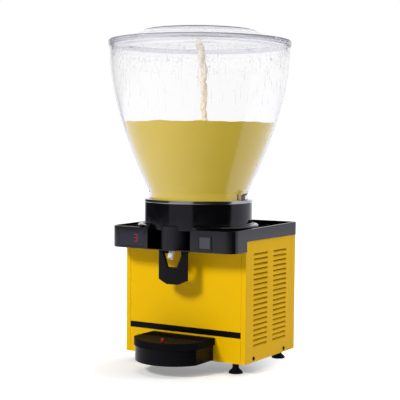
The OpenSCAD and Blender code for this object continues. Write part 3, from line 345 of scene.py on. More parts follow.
def white_acetal():
    # Acetal: white, waxy.
    return shader("moulded acetal, white", "#E4E3DE", 0.3)[0]


def soft_rubber(name="moulded rubber, black", colour="#1B1B1B"):
    # Rubber: matt with a faint bloom.
    return shader(name, colour, 0.7)[0]


def foam():
    # Polyurethane foam: cream, fine open cells about 1 mm across.
    material, tree, main = shader("polyurethane foam", "#D9CFA6", 0.9)
    ripple(tree, main, 1.5 * MM, 0.5, 0.5 * MM)
    return material


def smoked_acrylic():
    # Smoked acrylic window: near black with a blue cast, full gloss.
    return shader("smoked acrylic", "#1E1E2C", 0.06, Specular_IOR_Level=0.35)[0]


def lit_segment():
    # Lit segments behind the window.
    return shader("lit display segment", "#8E1222", 0.4,
                  Emission_Color=linear("#E8263E"), Emission_Strength=0.14)[0]


def red_acetal():
    # Moulded red float.
    return shader("moulded acetal, red", "#A80F16", 0.22)[0]


def laminate():
    # Glass-epoxy board with green solder mask.
    return shader("glass-epoxy laminate", "#20502C", 0.4)[0]


FINISHES = {}


def finish(name, make, *values):
    """The material of that name, made once."""
    if name not in FINISHES:
        FINISHES[name] = make(*values)
    return FINISHES[name]


# Meshes


def link(name, mesh):
    """A new object at the origin that shows the mesh."""
    obj = bpy.data.objects.new(name, mesh)
    bpy.context.scene.collection.objects.link(obj)
    return obj


def settle(obj, material, body, nodes=()):
    """Gives a piece its material, its body and the solids that it stands for."""
    if material:
        obj.data.materials.clear()
        obj.data.materials.append(material)
    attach(obj, body)
    if nodes:
        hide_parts(*nodes)
    return obj


def bake(obj):
    """Turns an object's modifiers into a plain mesh."""
    graph = bpy.context.evaluated_depsgraph_get()
    mesh = bpy.data.meshes.new_from_object(obj.evaluated_get(graph))
    obj.modifiers.clear()
    obj.data = mesh
    return obj


def body_of(node):
    """The CAD body that a node belongs to."""
    return frame["nodes"][node]["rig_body"]


def dress(node, material, width, segments=2, angle=32, flats=True, least=0.0):
    """A copy of a solid with its edges rounded, standing for that solid.

    Flats merge into single faces, and edges shorter than least stay sharp.
    """
    mesh = frame["nodes"][node].data.copy()
    mesh.name = node + "_dressed"
    work = bmesh.new()
    work.from_mesh(mesh)
    weld, level = 0.004 * MM, 0.003
    bmesh.ops.remove_doubles(work, verts=work.verts, dist=weld)
    if flats:
        bmesh.ops.dissolve_limit(work, angle_limit=level, verts=work.verts, edges=work.edges)
    weight = work.edges.layers.float.new("bevel_weight_edge")
    for edge in work.edges:
        sharp = edge.is_manifold and edge.calc_face_angle() > math.radians(angle)
        edge[weight] = 1.0 if sharp and edge.calc_length() > least else 0.0
    work.to_mesh(mesh)
    work.free()
    if "custom_normal" in mesh.attributes:
        mesh.attributes.remove(mesh.attributes["custom_normal"])
    mesh.shade_smooth()
    mesh.set_sharp_from_angle(angle=math.radians(angle))
    obj = link(node + "_dressed", mesh)
    bevel = obj.modifiers.new("edges", "BEVEL")
    bevel.width = width
    bevel.segments = segments
    bevel.limit_method = "WEIGHT"
    bevel.miter_outer = "MITER_ARC"
    normals = obj.modifiers.new("flats", "WEIGHTED_NORMAL")
    normals.keep_sharp = True
    bake(obj)
    return settle(obj, material, body_of(node), [node])


def coat(node, material):
    """Shows a solid as it is, in that material."""
    mesh = frame["nodes"][node].data
    mesh.materials.clear()
    mesh.materials.append(material)


def softened(points, radius, steps=4):
    """A closed profile with its corners rounded, by no more than most of a side."""
    out = []
    count = len(points)
    most, least, straight = 0.45, 1e-7, math.radians(170)
    for i, p in enumerate(points):
        p = Vector(p)
        a = Vector(points[i - 1]) - p
        b = Vector(points[(i + 1) % count]) - p
        cut = min(radius, a.length * most, b.length * most)
        if cut < least or a.angle(b) > straight:
            out.append(p)
            continue
        a = p + a.normalized() * cut
        b = p + b.normalized() * cut
        for k in range(steps + 1):
            t = k / steps
            out.append(a * (1 - t) ** 2 + p * (2 * t * (1 - t)) + b * t * t)
    return out


def skin(name, verts, faces, outward=True):
    """A smooth mesh, with its faces turned outward."""
    mesh = bpy.data.meshes.new(name)
    mesh.from_pydata(verts, [], faces)
    work = bmesh.new()
    work.from_mesh(mesh)
    if outward:
        bmesh.ops.recalc_face_normals(work, faces=work.faces)
    work.to_mesh(mesh)
    work.free()
    mesh.shade_smooth()
    return mesh


def lathe(name, profile, segments, closed=True, lift=None):
    """A profile of (radius, height) points turned about the vertical axis."""
    verts, faces, rings = [], [], []
    for r, z in profile:
        ring = []
        for k in range(segments if r > ON_AXIS else 1):
            a = 2 * math.pi * k / segments
            h = z + (lift(r, a, z) if lift else 0)
            ring.append(len(verts))
            verts.append((r * math.cos(a), r * math.sin(a), h))
        rings.append(ring)
    for low, high in zip(rings, rings[1:] + rings[:1] if closed else rings[1:]):
        for k in range(segments):
            n = (k + 1) % segments
            quad = [low[k % len(low)], low[n % len(low)], high[n % len(high)], high[k % len(high)]]
            face = list(dict.fromkeys(quad))
            if len(face) > 2:
                faces.append(face)
    mesh = skin(name, verts, faces, closed)
    mesh.set_sharp_from_angle(angle=CREASE)
    return mesh


def merge(name, meshes):
    """Several meshes as one."""
    work = bmesh.new()
    for mesh in meshes:
        work.from_mesh(mesh)
    out = bpy.data.meshes.new(name)
    work.to_mesh(out)
    work.free()
    out.shade_smooth()
    out.set_sharp_from_angle(angle=CREASE)
    return out


def block(low, high, edge):
    """A box with rounded edges."""
    mesh = bpy.data.meshes.new("block")
    work = bmesh.new()
    bmesh.ops.create_cube(work, size=1)
    low, high = Vector(low), Vector(high)
    for v in work.verts:
        v.co = Vector((a + (b - a) * (c + 0.5) for a, b, c in zip(low, high, v.co)))
    bmesh.ops.bevel(work, geom=work.edges[:] + work.verts[:], offset=edge, segments=2, affect="EDGES")
    work.to_mesh(mesh)
    work.free()
    return mesh


def sweep(name, points, radii, sides, wobble=None):
    """A closed tube along points, with a radius at each."""
    verts, faces = [], []
    points = [Vector(p) for p in points]
    for i, p in enumerate(points):
        along = (points[min(i + 1, len(points) - 1)] - points[max(i - 1, 0)]).normalized()
        across = along.cross(Vector((0, 1, 0))).normalized()
        up = across.cross(along)
        for k in range(sides):
            a = 2 * math.pi * k / sides
            r = radii[i] * (wobble(i, a) if wobble else 1)
            verts.append(p + across * (r * math.cos(a)) + up * (r * math.sin(a)))
    for i in range(len(points) - 1):
        for k in range(sides):
            n = (k + 1) % sides
            faces.append([i * sides + k, i * sides + n, (i + 1) * sides + n, (i + 1) * sides + k])
    faces.append(list(range(sides)))
    faces.append(list(range((len(points) - 1) * sides, len(points) * sides)))
    return skin(name, verts, faces)


def grown(name, base, tree, values):
    """Runs a Geometry Nodes tree on a base mesh and returns the result as a plain object."""
    obj = link(name, base)
    run = obj.modifiers.new(name, "NODES")
    run.node_group = tree
    for item in tree.interface.items_tree:
        if item.item_type == "SOCKET" and item.in_out == "INPUT" and item.name in values:
            run[item.identifier] = values[item.name]
    return bake(obj)


def new_tree(name, inputs):
    """An empty Geometry Nodes tree with named inputs. Returns tree, group input and group output."""
    tree = bpy.data.node_groups.new(name, "GeometryNodeTree")
    tree.interface.new_socket("Geometry", in_out="INPUT", socket_type="NodeSocketGeometry")
    for label, kind in inputs:
        tree.interface.new_socket(label, in_out="INPUT", socket_type=kind)
    tree.interface.new_socket("Geometry", in_out="OUTPUT", socket_type="NodeSocketGeometry")
    return tree, tree.nodes.new("NodeGroupInput"), tree.nodes.new("NodeGroupOutput")


def drops_tree():
    """Flat drops scattered over a wall; their local X faces out of the wall and Z stays upright."""
    tree, given, result = new_tree("drops on a wall", [
        ("Density", "NodeSocketFloat"), ("Seed", "NodeSocketInt"), ("Least", "NodeSocketVector"),
        ("Most", "NodeSocketVector"), ("Material", "NodeSocketMaterial")])
    spread = add(tree, "GeometryNodeDistributePointsOnFaces", {
        "Mesh": given.outputs["Geometry"], "Density": given.outputs["Density"],
        "Seed": given.outputs["Seed"]})
    turn = add(tree, "FunctionNodeAlignRotationToVector", {"Vector": spread.outputs["Normal"]},
               axis="X", pivot_axis="Z")
    size = add(tree, "FunctionNodeRandomValue", {
        0: given.outputs["Least"], 1: given.outputs["Most"], "Seed": given.outputs["Seed"]},
        data_type="FLOAT_VECTOR")
    ball = add(tree, "GeometryNodeMeshIcoSphere", Radius=1.0, Subdivisions=2)
    put = add(tree, "GeometryNodeInstanceOnPoints", {
        "Points": spread.outputs["Points"], "Instance": ball.outputs["Mesh"], "Rotation": turn.outputs[0],
        "Scale": size.outputs[0]})
    real = add(tree, "GeometryNodeRealizeInstances", {"Geometry": put.outputs[0]})
    smooth = add(tree, "GeometryNodeSetShadeSmooth", {"Geometry": real.outputs[0]})
    paint = add(tree, "GeometryNodeSetMaterial", {
        "Geometry": smooth.outputs[0], "Material": given.outputs["Material"]})
    tree.links.new(paint.outputs[0], result.inputs[0])
    return tree


def screws_tree(head):
    """One screw head on every point of a mesh, facing the way that the point's attribute says."""
    tree, given, result = new_tree("screw heads", [
        ("Size", "NodeSocketFloat"), ("Material", "NodeSocketMaterial")])
    facing = add(tree, "GeometryNodeInputNamedAttribute", data_type="FLOAT_VECTOR", Name="facing")
    turn = add(tree, "FunctionNodeAlignRotationToVector", {"Vector": facing.outputs[0]}, axis="Z")
    shape = add(tree, "GeometryNodeObjectInfo", Object=head)
    put = add(tree, "GeometryNodeInstanceOnPoints", {
        "Points": given.outputs["Geometry"], "Instance": shape.outputs["Geometry"],
        "Rotation": turn.outputs[0], "Scale": given.outputs["Size"]})
    real = add(tree, "GeometryNodeRealizeInstances", {"Geometry": put.outputs[0]})
    paint = add(tree, "GeometryNodeSetMaterial", {
        "Geometry": real.outputs[0], "Material": given.outputs["Material"]})
    tree.links.new(paint.outputs[0], result.inputs[0])
    return tree


# Operators


class DISPENSER_OT_cabinet(bpy.types.Operator):
    """Rounds the folds of the sheet panels and shows the base, the strip and the feet"""
    bl_idname = "dispenser.cabinet"
    bl_label = "Cabinet"

    def execute(self, context):
        looks = context.scene.dispenser.cabinet
        colour = tuple(looks.panel_colour)
        yellow = finish("yellow", powder_coat, colour)
        # The louvred side panels get shade painted into their louvres
        louvred = finish("louvred", powder_coat, colour, "powder-coated sheet steel, louvred",
                         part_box("right_side_panel"))
        dress("front_panel", yellow, looks.fold)
        coats = {"left_side_panel": louvred, "right_side_panel": louvred, "rear_panel": yellow}
        for node, coating in coats.items():
            dress(node, coating, looks.fold, flats=False, least=60 * MM)
        dress("black_strip", finish("foil", foil), 0.1 * MM)
        coat("base_plate", finish("zinc", plain_steel))
        for node in ("foot_front_left", "foot_front_right", "foot_rear_left", "foot_rear_right"):
            dress(node, finish("satin", satin_abs), 0.8 * MM, segments=3, angle=25)
        dress("cord_gland", finish("satin", satin_abs), 0.6 * MM)
        return {"FINISHED"}


class DISPENSER_OT_screws(bpy.types.Operator):
    """Puts recessed screw heads on the panels"""
    bl_idname = "dispenser.screws"
    bl_label = "Panel screws"
    HEAD_RADIUS = 4.2 * MM
    HEAD_HEIGHT = 2.2 * MM
    # Points of one screw lie closer together than this, and each node has this many screws
    REACH = 12 * MM
    COUNT = 4

    def execute(self, context):
        head = link("screw head", self.head(self.HEAD_RADIUS, self.HEAD_HEIGHT))
        tree = screws_tree(head)
        satin = finish("satin", satin_abs)
        for node, axis in (("panel_screws", 0), ("rear_screws", 1)):
            points, ways = self.places(node, axis)
            base = bpy.data.meshes.new(node + " places")
            base.from_pydata(points, [], [])
            facing = base.attributes.new("facing", "FLOAT_VECTOR", "POINT")
            facing.data.foreach_set("vector", [c for way in ways for c in way])
            obj = grown(node + "_heads", base, tree, {"Size": 1.0, "Material": satin})
            settle(obj, None, body_of(node), [node])
        bpy.data.objects.remove(head)
        return {"FINISHED"}

    def places(self, node, axis):
        """Middle of each screw head's seat, and the way it faces, from the solids' own points."""
        groups = []
        for vertex in frame["nodes"][node].data.vertices:
            co = vertex.co.copy()
            for group in groups:
                if (group[0] - co).length < self.REACH:
                    group.append(co)
                    break
            else:
                groups.append([co])
        if len(groups) != self.COUNT:
            raise RuntimeError("expected four screws in " + node)
        points, ways = [], []
        for group in groups:
            mid = Vector(((min(c[i] for c in group) + max(c[i] for c in group)) / 2 for i in range(3)))
            out = 1 if axis == 1 or mid.x > 0 else -1
            mid[axis] = max(c[axis] * out for c in group) * out - out * self.HEAD_HEIGHT
            way = Vector((0, 0, 0))
            way[axis] = out
            points.append(mid)
            ways.append(way)
        return points, ways

    def head(self, radius, height):
        """A domed head with a cross recess, seated at z 0."""
        core = 0.1 * MM
        dome = [(radius * 0.55, height * 0.9), (radius * 0.85, height * 0.62), (radius, height * 0.2),
                (radius, 0), (core, 0), (core, height * 0.98)]
        obj = link("head work", lathe("head", softened(dome, 0.2 * MM), 20))
        across, along, floor = 0.55 * MM, 2.3 * MM, height * 0.45
        for x, y in ((along, across), (across, along)):
            tool = link("recess", block((-x, -y, floor), (x, y, height * 2), 0.1 * MM))
            cut = obj.modifiers.new("recess", "BOOLEAN")
            cut.object = tool
            cut.solver = "EXACT"
            bake(obj)
            bpy.data.objects.remove(tool)
        mesh = obj.data
        bpy.data.objects.remove(obj)
        return mesh


class DISPENSER_OT_head(bpy.types.Operator):
    """Rounds the edges of the head, its collar and its ring"""
    bl_idname = "dispenser.head"
    bl_label = "Head and collar"

    def execute(self, context):
        looks = context.scene.dispenser.cabinet
        black = finish("gloss", gloss_abs)
        dress("top_cover", black, looks.head_edge, segments=4, angle=40)
        dress("collar_base", black, 0.8 * MM, segments=3, angle=20)
        dress("collar", black, 0.8 * MM, segments=3, angle=40)
        coat("pod_floor", finish("satin", satin_abs))
        dress("steel_ring", finish("polished", polished_steel), 1.2 * MM, segments=4, angle=40)
        dress("bowl_clips", finish("spring", spring_steel), 0.5 * MM, segments=2, angle=25)
        return {"FINISHED"}


class DISPENSER_OT_bowl(bpy.types.Operator):
    """Turns the clear bowl with its rim and guide lugs"""
    bl_idname = "dispenser.bowl"
    bl_label = "Bowl"

    def execute(self, context):
        s = context.scene.dispenser.bowl
        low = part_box("bowl")[0]
        outer = [(wall_radius(s, z), z) for z in flare_heights(s)]
        inner = [(r - s.wall, z) for r, z in reversed(outer)]
        # Half the height of the rim
        rim = 2 * MM
        top = s.flare_high + rim
        profile = [(s.neck - s.wall, low.z), (s.neck, low.z)] + outer[:-1]
        profile += softened([(s.mouth, s.flare_high - 2 * rim), (s.mouth, s.flare_high - rim),
                             (s.rim, s.flare_high - rim), (s.rim, top), (s.mouth - s.wall, top),
                             (s.mouth - s.wall, top - 2 * rim)], 0.8 * MM)[1:-1]
        profile += inner[1:]
        shell = lathe("bowl", profile, 192)
        # Guide lugs: from in the wall to out past it, and their span along Y and above the bowl's foot
        sunk, proud, edge = 0.8 * MM, 3.5 * MM, 0.6 * MM
        front, back = -18.9 * MM, -8.4 * MM
        lug_low, lug_high = low.z + 13.7 * MM, low.z + 26.2 * MM
        parts = [shell]
        for side in (1, -1):
            x = sorted((side * (s.neck - sunk), side * (s.neck + proud)))
            parts.append(block((x[0], front, lug_low), (x[1], back, lug_high), edge))
        clear = finish("clear", clear_wall, s.mouth + 0.5 * MM)
        obj = settle(link("clear_bowl", merge("clear_bowl", parts)), clear,
                     "bowl", ["bowl"])
        obj.visible_shadow = False
        return {"FINISHED"}


def flare_heights(s, low=None, high=None, count=64):
    """Heights along the flared wall."""
    low = s.flare_low if low is None else low
    high = s.flare_high if high is None else high
    return [low + (high - low) * i / count for i in range(count + 1)]


def wall_radius(s, z):
    """Outside radius of the bowl at a height: straight neck, then a quarter sine wave."""
    t = min(max((z - s.flare_low) / (s.flare_high - s.flare_low), 0), 1)
    return s.neck + (s.mouth - s.neck) * math.sin(math.pi / 2 * t)


class DISPENSER_OT_lid(bpy.types.Operator):
    """Turns the clear lid with its raised disc and rim lugs"""
    bl_idname = "dispenser.lid"
    bl_label = "Lid"

    def execute(self, context):
        s = context.scene.dispenser.bowl
        low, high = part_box("lid")
        top, wall, core = high.z, 2.5 * MM, 0.4 * MM
        seat = low.z + 14.5 * MM
        rim_top = seat + 5.5 * MM
        skirt = s.mouth - s.wall - 1 * MM
        ring = softened([
            (core, top - wall), (s.disc - wall, top - wall), (s.disc, top - 2 * wall),
            (skirt - wall, rim_top - wall), (skirt - wall, low.z), (skirt, low.z), (skirt, seat),
            (s.rim, seat), (s.rim, rim_top), (skirt, rim_top),
            (s.disc + 3 * MM, top - 3.5 * MM), (s.disc, top), (core, top)], 0.9 * MM)
        parts = [lathe("lid", ring, 192)]
        # Lugs round the rim: how many, where the first one is, and its corners and edges
        count, first, edge = 8, -4.5, 0.5 * MM
        near = (-8 * MM, -s.rim - 0.9 * MM, seat + 1 * MM)
        far = (8 * MM, -s.rim + 4 * MM, seat + 4 * MM)
        for i in range(count):
            lug = block(near, far, edge)
            lug.transform(Matrix.Rotation(math.radians(first + 360 / count * i), 4, "Z"))
            parts.append(lug)
        clear = finish("lid", clear_lid, s.mouth - s.wall + 1 * MM)
        obj = settle(link("clear_lid", merge("clear_lid", parts)), clear,
                     "lid", ["lid"])
        obj.visible_shadow = False
        return {"FINISHED"}


class DISPENSER_OT_drink(bpy.types.Operator):
    """Fills the bowl with cloudy drink whose surface the jet stirs"""
    bl_idname = "dispenser.drink"
    bl_label = "Drink"

    def execute(self, context):
        s, d = context.scene.dispenser.bowl, context.scene.dispenser.drink
        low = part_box("drink")[0]
        gap = 0.3 * MM
        # Radius and top of the dome, the pump cover and its tube, and the seat inside the gasket
        dome, cover, tube = 70 * MM + gap, 32 * MM + gap, 8 * MM + gap
        dome_top, cover_top, tube_top = 420 * MM + gap, 438 * MM + gap, 484 * MM + gap
        seat, seat_top = s.neck - 8 * MM - gap, low.z + 6 * MM
        wall = [(wall_radius(s, z) - s.wall - gap, z) for z in flare_heights(s, high=d.level, count=40)]
        edge = wall[-1][0]
        rings = 26
        surface = [(edge * (1 - i / rings), d.level) for i in range(1, rings)] + [(0.0, d.level)]
        hollow = [(0.0, tube_top), (tube, tube_top), (tube, cover_top),
                  (cover, cover_top), (cover, dome_top), (dome, dome_top)]
        foot = [(dome, low.z), (seat, low.z), (seat, seat_top), (s.neck - s.wall - gap, seat_top)]

        def stir(r, a, z):
            if abs(z - d.level) > 1e-6:
                return 0
            x, y = r * math.cos(a), r * math.sin(a)
            wave = math.sin(x * 61 + 1.3) * math.cos(y * 47 + 0.4) + 0.6 * math.sin(x * 118 - y * 93)
            wave += 0.5 * math.sin(y * 171 + x * 37 + 2.1)
            splash = 5 * MM * math.exp(-(r / 0.018) ** 2)
            return 0.8 * MM * wave + splash
        mesh = lathe("drink", foot + wall + surface + hollow, 144, lift=stir)
        cloudy = finish("drink", cloudy_drink, tuple(d.colour))
        settle(link("cloudy_drink", mesh), cloudy, "bowl", ["drink"])
        return {"FINISHED"}


class DISPENSER_OT_jet(bpy.types.Operator):
    """Throws the drink up from the spray tube and down the middle of the bowl"""
    bl_idname = "dispenser.jet"
    bl_label = "Jet"
    # Height of the jet's end, and the compass turn of the plane that it leans in
    TOP = 0.655
    PLANE = math.radians(31)
    # Steps that spread the splashes evenly
    SPREAD = (0.6180339, 0.7548776, 0.5698402)

    def execute(self, context):
        d = context.scene.dispenser.drink
        base, top = d.level, self.TOP
        right = Vector((math.cos(self.PLANE), math.sin(self.PLANE), 0))
        points, radii = [], []
        count, splashes = 90, 24
        for i in range(count + 1):
            t = i / count
            # Leans to the left as it rises, and is blown ragged near the top
            shift = 10 * MM - 3 * MM * t - 9 * MM * max(0, t - 0.62) ** 1.3 / 0.28
            sway = 0.9 * MM * math.sin(t * 23) + 0.6 * MM * math.sin(t * 57 + 1)
            depth = 0.4 * MM * math.sin(t * 31)
            points.append(right * (shift + sway) + Vector((0, depth, base + (top - base) * t)))
            swell = 0.8 + 0.35 * t + 0.05 * math.sin(t * 33) + 0.03 * math.sin(t * 71 + 0.7)
            radii.append(d.spray_width / 2 * swell * (1.25 if t < 0.04 else 1) * (1 if t < 0.97 else 0.7))

        def ragged(i, a):
            return 1 + 0.09 * math.sin(3 * a + i * 0.19) + 0.05 * math.sin(5 * a - i * 0.31)
        parts = [sweep("jet", points, radii, 20, ragged)]
        for i in range(splashes):
            t, u, v = ((i * step) % 1 for step in self.SPREAD)
            side = 1 if u > 0.5 else -1
            spread = (6 + 10 * v * v) * MM * side
            height = base + 0.004 + (top - base - 0.01) * (t ** 0.5)
            p = right * (7 * MM + spread) + Vector((0, (v - 0.5) * 14 * MM, height))
            r = (0.6 + 0.9 * ((i * 0.41) % 1) ** 2) * MM
            drop = [p + Vector((0, 0, h * r * 2.0)) for h in (-1, -0.6, 0, 0.6, 1)]
            parts.append(sweep("splash", drop, [0.12 * r, 0.8 * r, r, 0.7 * r, 0.1 * r], 7))
        mesh = merge("jet", parts)
        settle(link("jet", mesh), finish("spray", sprayed_drink), "bowl")
        return {"FINISHED"}


class DISPENSER_OT_drops(bpy.types.Operator):
    """Scatters drops and runs over the inside of the bowl above the drink"""
    bl_idname = "dispenser.drops"
    bl_label = "Drops on the wall"

    def execute(self, context):
        s, d = context.scene.dispenser.bowl, context.scene.dispenser.drink
        tree = drops_tree()
        film = finish("film", wet_film)
        # Name, lowest and highest place, drops per square metre, least and most half sizes in mm, seed
        layers = (
            ("hanging_drops", 0.627, 0.632, d.drops * 1.2, (0.5, 1.0, 1.2), (1.0, 2.8, 4.5), d.seed + 3),
            ("fine_drops", 0.600, 0.636, d.drops * 1.1, (0.3, 0.5, 0.6), (0.7, 1.4, 2.4), d.seed),
            ("wall_drops", d.level + 6 * MM, 0.610, d.drops * 0.10,
             (0.3, 0.4, 0.5), (0.6, 1.0, 1.6), d.seed + 1),
            ("runs", 0.530, 0.630, d.drops * 0.13, (0.3, 0.4, 5.0), (0.6, 0.9, 16.0), d.seed + 2),
        )
        for name, low, high, density, least, most, seed in layers:
            strip = [(wall_radius(s, z) - s.wall - 0.2 * MM, z) for z in flare_heights(s, low, high, 12)]
            base = lathe(name, strip, 96, closed=False)
            obj = grown(name, base, tree, {
                "Density": density, "Seed": seed, "Least": Vector(least) * MM, "Most": Vector(most) * MM,
                "Material": film})
            settle(obj, None, "bowl")
            obj.visible_shadow = False
        return {"FINISHED"}


class DISPENSER_OT_tap(bpy.types.Operator):
    """Rounds the tap's housing, lever and spout and shows what is inside"""
    bl_idname = "dispenser.tap"
    bl_label = "Tap"

    def execute(self, context):
        grained = finish("tap", satin_abs, "fine-grained moulded ABS, black", "#1A1A21", 0.45, 0.4)
        dress("tap_housing", grained, 1.6 * MM, segments=4, angle=40)
        dress("tap_lever", finish("satin", satin_abs), 1.0 * MM, segments=3, angle=25)
        white = finish("white", white_acetal)
        dress("spout", white, 0.5 * MM, segments=2, angle=40)
        dress("tap_body", white, 0.5 * MM, segments=2, angle=40)
        for node in ("lever_pin", "plunger_pin", "tap_spring"):
            coat(node, finish("polished", polished_steel))
        coat("tap_plunger", white)
        return {"FINISHED"}


class DISPENSER_OT_controls(bpy.types.Operator):
    """Dresses the display and the switch"""
    bl_idname = "dispenser.controls"
    bl_label = "Display and switch"

    def execute(self, context):
        smoked = finish("smoked", smoked_acrylic)
        grey = finish("rocker", satin_abs, "moulded nylon, dark grey", "#45464F", 0.3, 0.5)
        dress("display_window", smoked, 0.4 * MM, segments=2, angle=40)
        coat("display_digit", finish("lit", lit_segment))
        coat("display_board", finish("board", laminate))
        dress("switch_housing", finish("gloss", gloss_abs), 0.7 * MM, segments=3, angle=40)
        dress("switch_rocker", grey, 0.6 * MM, segments=3, angle=20)
        coat("rocker_pin", finish("polished", polished_steel))
        return {"FINISHED"}


class DISPENSER_OT_drip_tray(bpy.types.Operator):
    """Rounds the drip tray, its grille and the float"""
    bl_idname = "dispenser.drip_tray"
    bl_label = "Drip tray"

    def execute(self, context):
        black = finish("tray", satin_abs, "half-gloss moulded ABS, black", "#0A0A0C", 0.22, 0.1)
        dress("drip_tray", black, 1.0 * MM, segments=3, angle=40)
        dull = finish("grille", satin_abs, "dull moulded ABS, black", "#121215", 0.4, 0.01)
        dress("drip_grille", dull, 0.9 * MM, segments=3, angle=40, flats=False)
        dress("tray_float", finish("red", red_acetal), 0.3 * MM, segments=2, angle=40)
        return {"FINISHED"}


class DISPENSER_OT_cooling(bpy.types.Operator):
    """Shows the cooling unit and the pump in their own finishes"""
    bl_idname = "dispenser.cooling"
    bl_label = "Cooling unit and pump"

    def execute(self, context):
        zinc, copper = finish("zinc", plain_steel), finish("copper", copper_tube)
        inside = {
            zinc: ("deck_plate", "motor_clamp", "fan_shroud"),
            copper: ("evaporator_coil", "filter_drier", "refrigerant_pipes"),
            finish("enamel", enamel): ("pump_motor", "drive_magnet", "compressor", "fan_motor"),
            finish("polished", polished_steel): ("evaporator", "impeller_pin"),
            finish("rubber", soft_rubber): ("bowl_gasket", "compressor_mounts"),
            finish("hose", soft_rubber, "extruded silicone", "#CFCBC2"): ("outlet_hose",),
            finish("white", white_acetal): ("impeller", "pump_cover"),
            finish("foam", foam): ("collar_insulation",),
            finish("fins", fin_stock): ("condenser",),
            finish("satin", satin_abs): ("condenser_fan",),
        }
        for material, nodes in inside.items():
            for node in nodes:
                coat(node, material)
        return {"FINISHED"}


